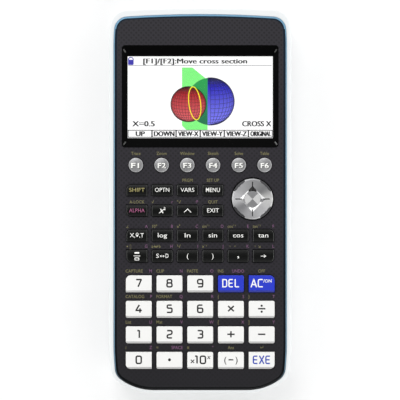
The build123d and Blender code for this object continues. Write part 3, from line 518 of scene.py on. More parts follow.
def circle(centre, radius, steps=48, begin=0.0, end=2 * math.pi, squeeze=1.0, tilt=0.0):
    # a ring, an arc or an ellipse, turned by tilt
    whole = abs(end - begin - 2 * math.pi) < 1e-6
    turns = [begin + (end - begin) * k / steps for k in range(steps if whole else steps + 1)]
    ring = [Vector((radius * squeeze * math.cos(a), radius * math.sin(a))) for a in turns]
    return [(centre[0] + p.x * math.cos(tilt) - p.y * math.sin(tilt),
             centre[1] + p.x * math.sin(tilt) + p.y * math.cos(tilt)) for p in ring]


# solid pieces: lathed forms, blocks and cuts

def applied(obj, kind, **settings):
    # a modifier put on and applied
    alone(obj)
    change = obj.modifiers.new("change", kind)
    for name, value in settings.items():
        setattr(change, name, value)
    bpy.ops.object.modifier_apply(modifier=change.name)


def smoothed(obj, degrees):
    alone(obj)
    bpy.ops.object.shade_smooth_by_angle(angle=math.radians(degrees))


def edited(obj):
    # into edit mode with everything selected
    alone(obj)
    bpy.ops.object.mode_set(mode="EDIT")
    bpy.ops.mesh.select_mode(type="VERT")
    bpy.ops.mesh.select_all(action="SELECT")


def turned(outline, centre, material, steps=64):
    # a closed outline of (radius, height) spun about an upright axis
    shape = toMesh(path([(centre[0] + radius, centre[1], z) for radius, z in outline]), material)
    edited(shape)
    bpy.ops.mesh.spin(steps=steps, angle=2 * math.pi, center=(*centre, 0), axis=(0, 0, 1))
    bpy.ops.mesh.select_all(action="SELECT")
    bpy.ops.mesh.remove_doubles(threshold=0.002 * mm)
    bpy.ops.mesh.normals_make_consistent(inside=False)
    bpy.ops.object.mode_set(mode="OBJECT")
    return shape


def prism(sides, radius, topRadius, low, high, centre, material, turn=0.0):
    # an upright prism or pyramid between two heights
    bpy.ops.object.select_all(action="DESELECT")
    bpy.ops.mesh.primitive_cone_add(vertices=sides, radius1=radius, radius2=topRadius, depth=high - low,
                                    location=(*centre, (low + high) / 2), rotation=(0, 0, turn))
    shape = bpy.context.object
    bpy.ops.object.transform_apply(location=True, rotation=True, scale=True)
    shape.data.materials.append(material)
    return shape


def block(low, high, material, bevel=0.0):
    # a box from corner to corner, its edges softened
    bpy.ops.object.select_all(action="DESELECT")
    bpy.ops.mesh.primitive_cube_add(size=1, location=[(a + b) / 2 for a, b in zip(low, high)])
    shape = bpy.context.object
    shape.scale = [b - a for a, b in zip(low, high)]
    bpy.ops.object.transform_apply(location=True, rotation=True, scale=True)
    shape.data.materials.append(material)
    if bevel:
        applied(shape, "BEVEL", width=bevel, segments=2)
    return shape


def combine(shape, cutter, operation):
    applied(shape, "BOOLEAN", object=cutter, operation=operation, solver="EXACT", material_mode="TRANSFER")
    bpy.data.objects.remove(cutter)


# cursor pad: a silver disc with clipped sides, a sunk diamond round a raised four-sided middle, and grooves
padLow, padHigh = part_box("cursor_pad")
padCentre = middleOf("cursor_pad")
padMiddle = {"radius": 3.9 * mm, "peak": 0.35 * mm, "slope": 0.1, "base": 9 * mm}
padCuts = {"diamond": 6.9 * mm, "floor": 4.6 * mm, "depth": 0.75 * mm, "dish": 0.3 * mm,
           "groove": 0.5 * mm, "grooveNear": 4.3 * mm, "grooveFar": 8.4 * mm,
           "clip": 8.7 * mm, "clipTilt": 32}
padFlange = {"reach": 1.2 * mm, "top": 0.7 * mm, "wall": 1.2 * mm}
# fans of light and dark as they fall on the turned face and in the diamond, in turns from the right
padSilver = platedMetal("turnedSilverPaintedReflections", "#b4b4b6", 0.34, metal=0.55, centre=padCentre, sectors=[
    (0.0, "#e6e6e8"), (0.1, "#9a9a9d"), (0.22, "#c0c0c2"), (0.36, "#d6d6d8"), (0.5, "#ececeb"),
    (0.62, "#969698"), (0.74, "#b0b0b2"), (0.88, "#c6c6c8"), (1.0, "#e6e6e8")])
# a lit and a shaded copy of the silver: painted light and shade for the middle's facets and its shoulder
padLitSilver = platedMetal("silverPaintedLightFacet", "#e6e6e6", 0.3, metal=0.35)
padRecess = platedMetal("mirrorSilverPaintedReflections", "#f2f2f2", 0.25, metal=0.4, centre=padCentre, sectors=[
    (0.0, "#9a9a9a"), (0.06, "#858587"), (0.17, "#7c7c7e"), (0.21, "#e8e8e8"), (0.3, "#f0f0f0"),
    (0.43, "#e2e2e2"), (0.46, "#6c6c6e"), (0.495, "#707072"), (0.505, "#f6f6f6"), (0.56, "#e4e4e4"),
    (0.66, "#bcbcbe"), (0.69, "#0c0c0c"), (0.81, "#0c0c0c"), (0.84, "#dcdcdc"), (0.92, "#d0d0d0"),
    (0.95, "#f6f6f6"), (1.0, "#f6f6f6")])
padShadedSilver = platedMetal("silverPaintedShadeFacet", "#a2a2a4", 0.32, metal=0.5)
padDark = platedMetal("darkGrooveAndClipSilver", "#3c3c3e", 0.35, metal=0.6)
padRadius = padHigh.x - padCentre[0] - padFlange["reach"]
topZ = padHigh.z
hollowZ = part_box("cursor_rocker")[1].z + 0.3 * mm
inside = padRadius - padFlange["wall"]
rimRadius = padRadius + padFlange["reach"]
flangeZ = padLow.z + padFlange["top"]
outline = [(0, topZ - padCuts["dish"]), (0, hollowZ), (inside, hollowZ), (inside, padLow.z + 0.1 * mm),
           (padRadius, padLow.z + 0.2 * mm), (rimRadius, padLow.z + 0.35 * mm),
           (rimRadius, flangeZ), (padRadius, flangeZ)]
outline += [(padRadius - inward * mm, topZ - drop * mm)
            for inward, drop in ((0, 0.55), (0.1, 0.3), (0.3, 0.1), (0.6, 0), (1.1, 0), (2.6, 0.1),
                                 (4.5, 0.24))]
outline.append(outline[0])
pad = turned(outline, padCentre, padSilver, 96)
bottomZ = topZ - padCuts["dish"] - padCuts["depth"]
combine(pad, prism(4, padCuts["floor"], padCuts["diamond"], bottomZ, topZ, padCentre, padRecess),
        "DIFFERENCE")
peakZ = topZ - padMiddle["peak"]
footZ = peakZ - padMiddle["base"] * math.cos(math.pi / 4) * padMiddle["slope"]
middle = prism(4, padMiddle["base"], 0.01 * mm, footZ, peakZ, padCentre, padLitSilver, math.pi / 4)
combine(middle, prism(64, padMiddle["radius"], padMiddle["radius"], topZ - 3 * mm, topZ, padCentre, padShadedSilver),
        "INTERSECT")
shoulderZ = peakZ - padMiddle["radius"] * padMiddle["slope"] - 0.08 * mm
combine(pad, prism(64, padMiddle["radius"], padMiddle["radius"] - 0.08 * mm, bottomZ - 0.1 * mm, shoulderZ,
                   padCentre, padShadedSilver), "UNION")
for turn in range(4):
    across = (math.cos(turn * math.pi / 2), math.sin(turn * math.pi / 2))
    half = padCuts["groove"] / 2
    ends = [(padCentre[0] + across[0] * r + across[1] * half * s,
             padCentre[1] + across[1] * r + across[0] * half * s)
            for r, s in ((padCuts["grooveNear"], -1), (padCuts["grooveFar"], 1))]
    low = (min(e[0] for e in ends), min(e[1] for e in ends), topZ - 0.75 * mm)
    high = (max(e[0] for e in ends), max(e[1] for e in ends), topZ + 1 * mm)
    combine(pad, block(low, high, padDark), "DIFFERENCE")
tilt = math.radians(padCuts["clipTilt"])
for turn in range(4):
    aside = Vector((math.cos(math.pi / 4 + turn * math.pi / 2),
                    math.sin(math.pi / 4 + turn * math.pi / 2), 0))
    edited(pad)
    bpy.ops.mesh.bisect(plane_co=Vector((*padCentre, topZ)) + aside * padCuts["clip"],
                        plane_no=aside * math.sin(tilt) + Vector((0, 0, math.cos(tilt))),
                        use_fill=True, clear_outer=True)
    bpy.ops.object.mode_set(mode="OBJECT")
pad = joined([pad, middle], "cursorPadCap", "cursor_pad")
padFaces = [padSilver, padLitSilver, padShadedSilver, padDark, darkPlasticAndGapShade, padRecess]
kept = [pad.data.materials[face.material_index] for face in pad.data.polygons]
pad.data.materials.clear()
for material in padFaces:
    pad.data.materials.append(material)
for face, was in zip(pad.data.polygons, kept):
    away = (abs(face.center.x - padCentre[0]), abs(face.center.y - padCentre[1]))
    reach = math.hypot(*away)
    hidden = face.normal.z < 0.1 and reach < padRadius - 1 * mm and face.center.z < bottomZ
    finish = was
    # the flange, dark as painted shade in the gap round the pad, and the hidden faces underneath
    if face.center.z < flangeZ + 0.02 * mm or hidden:
        finish = darkPlasticAndGapShade
    # painted light and shade: the middle's east and west facets lit, its north and south facets shaded
    elif was is padLitSilver and reach < padMiddle["radius"] and face.normal.z > 0.5:
        finish = padLitSilver if away[0] > away[1] else padShadedSilver
    # the clipped facets in the same darker silver as the groove walls
    elif (reach > padCuts["clip"] and face.normal.z < 0.9
          and abs(away[0] - away[1]) < 1 * mm and face.area > 1e-6):
        finish = padDark
    face.material_index = padFaces.index(finish)
smoothed(pad, 20)
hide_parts("cursor_pad")
print("cursor pad built")


# key mat: a sheet of silicone, and under each key a dome of the kind that buckles as the key goes down, built
# in its resting shape
dome = {"base": 2.2 * mm, "top": 1.5 * mm, "wall": 0.32 * mm, "sheet": 0.4 * mm, "steps": 20,
        "keyKeep": 0.36, "cursorKeep": 0.6}
matLow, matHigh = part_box("key_mat")
sheetTop = matLow.z + dome["sheet"]


def rubberDome(name, place, high):
    roof = high - dome["wall"] * 1.2
    outline = [(0, high), (dome["top"] - 0.15 * mm, high), (dome["top"], high - 0.12 * mm),
               (dome["base"], sheetTop), (dome["base"], matLow.z), (dome["base"] - dome["wall"], matLow.z),
               (dome["top"] - dome["wall"], roof), (0, roof)]
    shape = joined([turned(outline, place, siliconeGrey, dome["steps"])], name, "case")
    smoothed(shape, 50)
    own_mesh(shape)


domePlaces = []
for names in keyBlock.values():
    for name in names:
        domePlaces.append(middleOf("key_" + name))
        rubberDome("dome_" + name, domePlaces[-1], matHigh.z)
rockerLow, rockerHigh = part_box("cursor_rocker")
rockerReach = (rockerHigh.x - rockerLow.x) / 2 - 1.6 * mm
for name, across, joint in (("East", (1, 0), "cursor_roll"), ("North", (0, 1), "cursor_pitch"),
                            ("West", (-1, 0), "cursor_roll"), ("South", (0, -1), "cursor_pitch")):
    domePlaces.append((padCentre[0] + across[0] * rockerReach, padCentre[1] + across[1] * rockerReach))
    rubberDome("domeCursor" + name, domePlaces[-1], rockerLow.z - 0.2 * mm)
sheet = block(matLow, (matHigh.x, matHigh.y, sheetTop), siliconeGrey, 0.08 * mm)
holeRadius = dome["base"] - 0.02 * mm
holes = [prism(24, holeRadius, holeRadius, matLow.z - 1 * mm, sheetTop + 1 * mm, place, siliconeGrey)
         for place in domePlaces]
combine(sheet, fused(holes), "DIFFERENCE")
sheet = joined([sheet], "keyMatSheet", "case")
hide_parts("key_mat")
print("key mat built:", len(domePlaces), "domes")

# battery contacts: nickel plates with conical springs at the cells' flat ends and dimples at the raised ends
contact = {"wall": 0.4 * mm, "depth": 3.1 * mm, "base": 2.6 * mm, "tip": 1.7 * mm, "wire": 0.26 * mm,
           "turns": 3.5, "height": 7.6 * mm, "lift": 0.6 * mm, "lap": 4.0 * mm, "tail": 1.4 * mm,
           "edge": 0.1 * mm}
contactLow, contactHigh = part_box("battery_contacts")
cellZ = (cellsLow.z + cellsHigh.z) / 2
plateLow = cellZ + contact["lift"] - contact["height"] / 2
plateHigh = plateLow + contact["height"]


def coilSpring(x, wallY, inward):
    # a wire wound in a cone, its last turn flat for the cell
    count = int(contact["turns"] * 16)
    places = []
    for k in range(count + 1):
        share = min(k / (count - 14), 1.0)
        radius = contact["base"] + (contact["tip"] - contact["base"]) * share - contact["wire"]
        along = (contact["wall"] + contact["wire"]
                 + (contact["depth"] - contact["wall"] - 2 * contact["wire"]) * share)
        turn = 2 * math.pi * k / 16
        places.append((x + radius * math.cos(turn), wallY + inward * along, cellZ + radius * math.sin(turn)))
    coil = path(places)
    coil.data.bevel_depth = contact["wire"]
    coil.data.bevel_resolution = 1
    coil.data.use_fill_caps = True
    return toMesh(coil, contactNickel)


def dimple(x, wallY, inward):
    # a pressed dome, cut off at the plate
    bpy.ops.object.select_all(action="DESELECT")
    bpy.ops.mesh.primitive_uv_sphere_add(segments=24, ring_count=12, radius=1, location=(x, wallY, cellZ))
    shape = bpy.context.object
    shape.scale = (contact["base"], contact["depth"], contact["base"])
    bpy.ops.object.transform_apply(location=True, rotation=True, scale=True)
    shape.data.materials.append(contactNickel)
    edited(shape)
    bpy.ops.mesh.bisect(plane_co=(x, wallY + inward * 0.05 * mm, cellZ), plane_no=(0, inward, 0),
                        use_fill=True, clear_inner=True)
    bpy.ops.object.mode_set(mode="OBJECT")
    return shape


contactParts = []
for wallY, inward, groups in ((contactHigh.y, -1, ((0, 1), (2, 3))), (contactLow.y, 1, ((0,), (1, 2), (3,)))):
    near, far = sorted((wallY, wallY + inward * contact["wall"]))
    for group in groups:
        xs = [(cell - 1.5) * cellPitch for cell in group]
        contactParts.append(block((xs[0] - contact["lap"], near, plateLow),
                                  (xs[-1] + contact["lap"], far, plateHigh), contactNickel, contact["edge"]))
        if len(group) == 1:
            contactParts.append(block((xs[0] - contact["tail"], near, plateHigh - 0.2 * mm),
                                      (xs[0] + contact["tail"], far, contactHigh.z),
                                      contactNickel, contact["edge"]))
        for cell, x in zip(group, xs):
            raised = (cell % 2 == 1) == (inward == -1)
            contactParts.append(dimple(x, wallY, inward) if raised else coilSpring(x, wallY, inward))
contacts = joined(contactParts, "batterySprings", "case")
smoothed(contacts, 40)
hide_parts("battery_contacts")
print("battery contacts built")


# key legends

# height, width and stroke of a stroke letter, the gap to the next, its corners' radius and its rise, in mm
keyDigits = {"height": 3.55, "width": 2.45, "weight": 0.74, "gap": 1.35, "corner": 0.85, "lift": 0.35}
inkBlack = printInk("blackPadPrintInk", "#151515")
# the white ink has a faint painted glow, to look brighter
inkWhite = printInk("whitePadPrintInkPaintedGlow", "#f2f2ee", glow=0.12)
inkBlue = printInk("bluePadPrintInk", "#1c3cb0")
inkYellow = printInk("oliveYellowPadPrintInk", "#a39a62")
inkPink = printInk("rosePadPrintInk", "#a3557f")

# each stroke: closed or not, corner share, and points on a unit cell
glyphs = {
    "0": [(1, 1.0, (0, 0), (1, 0), (1, 1), (0, 1))],
    "1": [(0, 0.3, (0.22, 1), (0.62, 1), (0.62, 0))],
    "2": [(0, 0.9, (0.04, 1), (1, 1), (1, 0.52), (0.06, 0.40), (0.06, 0), (1, 0))],
    "3": [(0, 0.9, (0, 1), (0.97, 1), (0.97, 0.52), (0.4, 0.52)),
          (0, 0.9, (0.4, 0.52), (1, 0.52), (1, 0), (0, 0))],
    "4": [(0, 0, (0.62, 1.03), (-0.05, 0.26)), (0, 0, (-0.14, 0.27), (1.12, 0.27)),
          (0, 0, (0.76, 0.55), (0.76, -0.03))],
    "5": [(0, 0.75, (0.95, 1), (0.06, 1), (0.06, 0.58), (1, 0.58), (1, 0), (0, 0))],
    "6": [(0, 0.9, (0.93, 1), (0, 1), (0, 0), (1, 0), (1, 0.57), (0.05, 0.57))],
    "7": [(0, 0.15, (-0.02, 1), (1, 1), (0.38, 0))],
    "8": [(1, 0.9, (0.05, 0.53), (0.95, 0.53), (0.95, 1), (0.05, 1)),
          (1, 0.9, (0, 0), (1, 0), (1, 0.53), (0, 0.53))],
    "9": [(0, 0.9, (0.07, 0), (1, 0), (1, 1), (0, 1), (0, 0.43), (0.95, 0.43))],
    "A": [(0, 0.1, (-0.1, -0.06), (0.5, 1.05), (1.1, -0.06)), (0, 0, (0.18, 0.3), (0.82, 0.3))],
    "C": [(0, 0.8, (1, 1), (0, 1), (0, 0), (1, 0))],
    "D": [(0, 0, (0.02, -0.07), (0.02, 1.07)), (0, 1.0, (0, 1), (1, 1), (1, 0), (0, 0))],
    "E": [(0, 0.8, (0.98, 1), (0, 1), (0, 0), (0.98, 0)), (0, 0, (0.05, 0.5), (0.9, 0.5))],
    "L": [(0, 0.6, (0, 1.05), (0, 0), (0.95, 0))],
    "X": [(0, 0, (-0.05, 1.06), (1.05, -0.06)), (0, 0, (1.05, 1.06), (-0.05, -0.06))],
    "×": [(0, 0, (0.02, 0.88), (0.98, 0.16)), (0, 0, (0.98, 0.88), (0.02, 0.16))],
    "+": [(0, 0, (-0.12, 0.5), (1.12, 0.5)), (0, 0, (0.5, 0.92), (0.5, 0.08))],
    "−": [(0, 0, (-0.12, 0.5), (1.12, 0.5))],
}


def topOf(node, x, y):
    # height of a CAD node's surface seen from above
    hit, place, *rest = nodes[node].ray_cast(Vector((x, y, 1.0)), Vector((0, 0, -1)))
    return place.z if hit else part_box(node)[1].z


def keyStroke(key, points, width, ink=inkWhite, closed=False, above=0.01):
    # a painted band on a key's top, through points in mm from the key's middle
    x, y = middleOf("key_" + key)
    places = [(x + dx * mm, y + dy * mm) for dx, dy in points]
    laid = [(a, b, topOf("key_" + key, a, b) + above * mm) for a, b in places]
    return stroke(laid, width * mm, ink, closed)


def drawn(key, text, ink=inkBlack, shift=(0.0, 0.0), **changes):
    # stroke letters on a key's top, shifted in mm from its middle
    look = {**keyDigits, **changes}
    step = look["width"] + look["gap"]
    left = shift[0] - (len(text) * step - look["gap"]) / 2
    low = shift[1] + look["lift"] - look["height"] / 2
    parts = []
    for n, letter in enumerate(text):
        for closed, roundness, *points in glyphs[letter]:
            corners = [(left + n * step + u * look["width"], low + v * look["height"]) for u, v in points]
            if roundness:
                corners = rounded(corners, look["corner"] * roundness, bool(closed))
            parts.append(keyStroke(key, corners, look["weight"], ink, bool(closed), 0.002))
    return parts


def keyWord(key, words, cap, ink, dx=0.0, dy=0.0, weight=0.0, fit=None, wide=1.0, slant=0.0, cut=0.45):
    # words in the font on a key's top, cut into strips, dropped on it and given the print's thickness; in mm
    x, y = middleOf("key_" + key)
    word = lettering(words, cap * mm, (x + dx * mm, y + dy * mm, 0.1), ink, weight=weight * mm, wide=wide,
                     fit=fit and fit * mm, slant=slant)
    ends = [v.co.y for v in word.data.vertices]
    edited(word)
    level = min(ends) + cut * mm / 2
    while level < max(ends):
        bpy.ops.mesh.select_all(action="SELECT")
        bpy.ops.mesh.bisect(plane_co=(0, level, 0), plane_no=(0, 1, 0))
        level += cut * mm
    bpy.ops.mesh.select_all(action="SELECT")
    bpy.ops.mesh.remove_doubles(threshold=0.001 * mm)
    bpy.ops.object.mode_set(mode="OBJECT")
    applied(word, "SHRINKWRAP", target=nodes["key_" + key], wrap_method="PROJECT", use_project_z=True,
            use_negative_direction=True, use_positive_direction=False, offset=0.02 * mm)
    applied(word, "SOLIDIFY", thickness=0.03 * mm, offset=-1)
    return word


def legend(key, parts):
    joined(parts, "legend_" + key, "key_" + key)


def dot(key, dy, radius):
    # a round spot, in mm
    return keyStroke(key, circle((0, dy + keyDigits["lift"]), radius / 2, 16), radius, inkBlack, True, 0)


signLook = {"weight": 0.72, "width": 2.9}
for digit in "0123456789":
    legend(digit, drawn(digit, digit))
for key, sign in {"multiply": "×", "plus": "+", "minus": "−"}.items():
    legend(key, drawn(key, sign, **signLook))
legend("divide", drawn("divide", "−", **signLook) + [dot("divide", 1.45, 0.55), dot("divide", -1.45, 0.55)])
legend("point", [dot("point", 0, 0.72)])
legend("times_ten", drawn("times_ten", "10", shift=(-0.25, 0), gap=0.7)
       + drawn("times_ten", "×", shift=(-3.75, -0.8), height=2.2, width=1.7, weight=0.46, gap=0)
       + [keyWord("times_ten", "x", 2.2, inkBlack, 4.1, 1.5 + keyDigits["lift"], 0.03, slant=0.2)])
legend("negative", [keyWord("negative", sign, 2.75, inkBlack, dx, keyDigits["lift"], 0.05, wide=0.95)
                    for sign, dx in (("(", -2.85), (")", 2.85))]
       + drawn("negative", "−", height=3.4, width=1.9, weight=0.6, gap=0))
legend("exe", drawn("exe", "EXE", inkBlue, gap=1.05, width=2.0, weight=0.62))
legend("del", drawn("del", "DEL", inkWhite, gap=1.1, width=1.95, weight=0.56))
legend("ac", drawn("ac", "AC", inkWhite, (-2.2, 0), width=2.2, gap=1.1, weight=0.56)
       + [keyWord("ac", "/ON", 1.5, inkWhite, 2.9, 1.1 + keyDigits["lift"], 0.03, 4.0)])
print("number keys lettered")

# dark keys: words, capital height, width they are fitted to, and rise from the key's middle, in mm
darkLegends = {
    "shift": ("SHIFT", 1.85, 7.6, 0.15), "optn": ("OPTN", 1.95, 7.0, 0.15), "vars": ("VARS", 1.95, 6.7, 0.15),
    "menu": ("MENU", 2.0, 6.8, 0.15), "alpha": ("ALPHA", 1.85, 7.6, 0.15), "exit": ("EXIT", 2.0, 5.8, 0.15),
    "x_theta_t": ("X,θ,T", 2.0, 6.8, 0.15), "log": ("log", 2.1, 4.5, 0.15), "ln": ("ln", 2.1, 2.8, 0.15),
    "sin": ("sin", 2.1, 4.2, 0.15), "cos": ("cos", 2.1, 5.0, 0.15), "tan": ("tan", 2.1, 4.9, 0.15),
    "open_bracket": ("(", 2.2, 0.85, 0.15), "close_bracket": (")", 2.2, 0.85, 0.15),
    "comma": (",", 3.4, 0.9, 1.0)}
for key, (words, cap, fit, rise) in darkLegends.items():
    ink = {"shift": inkYellow, "alpha": inkPink}.get(key, inkWhite)
    legend(key, [keyWord(key, words, cap, ink, 0, rise, 0.008, fit)])
legend("square", [keyWord("square", "x", 3.0, inkWhite, -0.5, 0.35, 0.04, slant=0.3),
                  keyWord("square", "2", 1.3, inkWhite, 1.2, 1.05, 0.04)])
legend("s_d", [keyStroke("s_d", [(side * 0.45, 0.5), (side * 1.05, 0), (side * 0.45, -0.5)], 0.28)
               for side in (1, -1)]
       + [keyStroke("s_d", [(-0.8, 0), (0.8, 0)], 0.24),
          keyWord("s_d", "S", 2.0, inkWhite, -2.3, 0.15, 0.01, 1.35),
          keyWord("s_d", "D", 2.0, inkWhite, 2.3, 0.15, 0.01, 1.45)])
legend("power", [keyStroke("power", [(side * (1.7 - 1.85 * k / 6), -0.8 + 1.75 * k / 6) for k in range(7)],
                           0.36)
                 for side in (1, -1)])
legend("arrow", [keyStroke("arrow", [(-1.3, 0), (0.95, 0)], 0.3),
                 keyStroke("arrow", [(0.25, 0.65), (1.1, 0.0), (0.25, -0.65)], 0.34)])
lowBox = rounded([(-0.95, -1.9), (0.95, -1.9), (0.95, -0.85), (-0.95, -0.85)], 0.3, True)
legend("fraction", [keyStroke("fraction", [(-1.15, 1.35), (1.15, 1.35)], 1.25),
                    keyStroke("fraction", [(-1.6, 0.1), (1.6, 0.1)], 0.3),
                    keyStroke("fraction", lowBox, 0.42, closed=True)])
for number in "123456":
    key, word = "f" + number, "F" + number
    shade = keyWord(key, word, 2.35, inkBlack, 0.16, -0.42, 0.12, 4.3, cut=0.3)
    face = keyWord(key, word, 2.35, inkWhite, 0, -0.25, 0.075, 4.0, cut=0.3)
    face.data.transform(Matrix.Translation((0, 0, 0.015 * mm)))
    legend(key, [shade, face])
print("dark and silver keys lettered")

# words on the panel: capital height, share of the font's width, how much bolder, and thickness
panelPrint = {"cap": 1.5 * mm, "wide": 0.9, "weight": 0.01 * mm, "thick": 0.02 * mm, "flangeLap": 0.5 * mm}
labelYellow = printInk("oliveYellowScreenInk", "#7f7a54")
labelPink = printInk("mauveScreenInk", "#7d5678")
yellowParts, pinkParts = [], []


def panelWord(words, x, y, parts, ink, align):
    parts.append(lettering(words, panelPrint["cap"], (x, y, faceZ), ink, align, panelPrint["weight"],
                           panelPrint["wide"], thick=panelPrint["thick"]))


def overKey(gap, key, left=None, right=None, middle=None):
    # words on the panel, gap mm above a key's top edge; its flange runs under the panel on each side
    low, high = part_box("key_" + key)
    lap = panelPrint["flangeLap"]
    y = high.y - lap + gap * mm
    if left:
        panelWord(left, low.x + lap, y, yellowParts, labelYellow, "LEFT")
    if right:
        panelWord(right, high.x - lap, y, pinkParts, labelPink, "RIGHT")
    if middle:
        panelWord(middle, (low.x + high.x) / 2, y, yellowParts, labelYellow, "CENTER")


for number, words in zip("123456", ("Trace", "Zoom", "Window", "Sketch", "Solve", "Table")):
    overKey(2.0, "f" + number, middle=words)
overKey(1.9, "vars", middle="PRGM")
overKey(1.9, "menu", middle="SET UP")
overKey(1.35, "alpha", middle="A-LOCK")
overKey(1.35, "square", "√", "r")
overKey(1.35, "power", "ˣ√", "θ")
overKey(1.35, "exit", middle="QUIT")
for gap, rows in ((1.3, (("x_theta_t", "∠", "A"), ("log", "10ˣ", "B"), ("ln", "eˣ", "C"),
                         ("sin", "sin⁻¹", "D"), ("cos", "cos⁻¹", "E"), ("tan", "tan⁻¹", "F"))),
                  (1.6, (("fraction", "▪▯", "G"), ("s_d", "a↔b", "H"), ("open_bracket", "³√", "I"),
                         ("close_bracket", "x⁻¹", "J"), ("comma", "▫▫", "K"), ("arrow", "▫↘", "L"))),
                  (1.9, (("7", "CAPTURE", "M"), ("8", "CLIP", "N"), ("9", "PASTE", "O"),
                         ("del", "INS", "UNDO"), ("4", "CATALOG", "P"), ("5", "FORMAT", "Q"),
                         ("6", None, "R"), ("multiply", "{", "S"), ("divide", "}", "T"),
                         ("1", "List", "U"), ("2", "Mat", "V"), ("3", None, "W"),
                         ("plus", "[", "X"), ("minus", "]", "Y"), ("0", "i", "Z"), ("point", "=", "SPACE"),
                         ("times_ten", "π", '"')))):
    for row in rows:
        overKey(gap, *row)
for key, words in {"ac": "OFF", "negative": "Ans", "exe": "↵"}.items():
    overKey(1.9, key, middle=words)
joined(yellowParts, "panelWordsYellow", "case")
joined(pinkParts, "panelWordsMauve", "case")
print("panel lettered")

# lacquer lines round the panel's face, darkened towards the foot as painted shade: the bevel's blue runs onto
# the face along the top, inside it is navy
edgeLine = {"navy": 1.1 * mm, "blue": 0.42 * mm, "blueDown": 9 * mm}
rimPoints = sorted({(round(v.co.x, 5), round(v.co.y, 5)) for v in nodes["front_case"].data.vertices
                    if v.co.z > faceZ - 0.01 * mm})


def halfHull(points):
    hull = []
    for p in points:
        while len(hull) > 1 and ((hull[-1][0] - hull[-2][0]) * (p[1] - hull[-2][1])
                                 <= (hull[-1][1] - hull[-2][1]) * (p[0] - hull[-2][0])):
            hull.pop()
        hull.append(p)
    return hull[:-1]


def inset(points, amount, above):
    # each corner of a closed outline moved inwards, a little above the face
    moved = []
    for i, point in enumerate(points):
        along = (Vector(points[(i + 1) % len(points)]) - Vector(points[i - 1])).normalized()
        moved.append((point[0] - along.y * amount, point[1] + along.x * amount, faceZ + above))
    return moved


rim = halfHull(rimPoints) + halfHull(rimPoints[::-1])
navyRing = inset(rim, edgeLine["navy"] / 2, 0.004 * mm)
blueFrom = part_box("front_case")[1].y - edgeLine["blueDown"]
blueRun = sorted(p for p in inset(rim, edgeLine["blue"] / 2, 0.02 * mm) if p[1] > blueFrom)
joined([stroke(navyRing, edgeLine["navy"], navyWithPaintedShade, True), stroke(blueRun, edgeLine["blue"], pearlBlueWithPaintedShade)],
       "panelEdgeLine", "case")

# painted highlights: short bright strips at the corners of the display's well, where its rounded corners catch
# the light
mitre = {"outer": (37.6 * mm, 23.2 * mm), "inner": (36.6 * mm, 21.75 * mm), "width": 1.0 * mm}
mitreHighlight = mouldedPlastic("wellMitrePaintedHighlight", "#363834", 0.2, 0.1, 0.05, specular=0.8)
mitres = []
for across, upright in ((1, 1), (1, -1), (-1, 1), (-1, -1)):
    ends = [Vector((across * x, windowMiddle + upright * y)) for x, y in (mitre["outer"], mitre["inner"])]
    run = [ends[0].lerp(ends[1], k / 6) for k in range(7)]
    mitres.append(stroke([(*p, topOf("front_case", *p) + 0.01 * mm) for p in run], mitre["width"],
                         mitreHighlight))
joined(mitres, "wellMitreHighlights", "case")
print("panel edge drawn")


# picture on the display: places are in mm from the window's middle, and higher layers lie in front

picture = {"half": (35.5, 19.97), "layer": 0.008 * mm, "below": 0.085 * mm, "bar": 3.95, "tab": 11.8,
           "grid": 16}
redBall = {"centre": (-5.76, -3.43), "radius": 8.6}
blueBall = {"centre": (5.08, -2.07), "radius": 11.58}
planeRight = 3.61  # where the cutting plane ends and the blue half ball starts


def crystal(name, *stops, low=0.0, high=0.0):
    return litCrystal(name, stops[0], stops[1] if len(stops) > 1 else None,
                      (windowMiddle + low * mm, windowMiddle + high * mm),
                      stops[2] if len(stops) > 2 else None)


litWhite = crystal("litWhiteCrystal", "#fdfdfd")
litGreen = crystal("litGreenCrystal", "#7df07d")
litDeep = crystal("litDeepGreenCrystal", "#0c6a48", "#1f9a4c", low=-13, high=9)
litRed = crystal("litRedCrystal", "#e0666c", "#a80a18", "#180204", low=-14, high=5.2)
litBlue = crystal("litBlueCrystal", "#8080f4", "#1a14b4", "#060420", low=-15, high=9.5)
darkCrystal = crystal("darkCrystal", "#08080c")
nightCrystal = crystal("nightBlueCrystal", "#08063a")
maroonCrystal = crystal("maroonCrystal", "#3a0408")
litYellow = crystal("litYellowCrystal", "#fff01e")
greyCrystal = crystal("greyCrystal", "#8e8e92")
iconBlue = crystal("iconBlueCrystal", "#3a34a8")
pictureParts = []


def onScreen(points, layer):
    height = windowLow.z - picture["below"] + layer * picture["layer"]
    return [(x * mm, windowMiddle + y * mm, height) for x, y in points]


def paint(layer, outline, material):
    flat = onScreen(outline, layer)
    pictureParts.append(filled([p[:2] for p in flat], flat[0][2], material))


def line(layer, points, width, material, closed=False):
    pictureParts.append(stroke(onScreen(points, layer), width * mm, material, closed, thick=0.002 * mm))


def box(x0, y0, x1, y1):
    return [(x0, y0), (x1, y0), (x1, y1), (x0, y1)]


def screenWord(layer, words, x, y, width, align, cap=2.35, heavy=0.3):
    # struck three times, a little apart, for the bold face of a display
    for shift in (0, heavy / 2, heavy):
        place = onScreen([(x + shift, y)], layer)[0]
        pictureParts.append(lettering(words, cap * mm, place, darkCrystal, align, fit=(width - heavy) * mm))


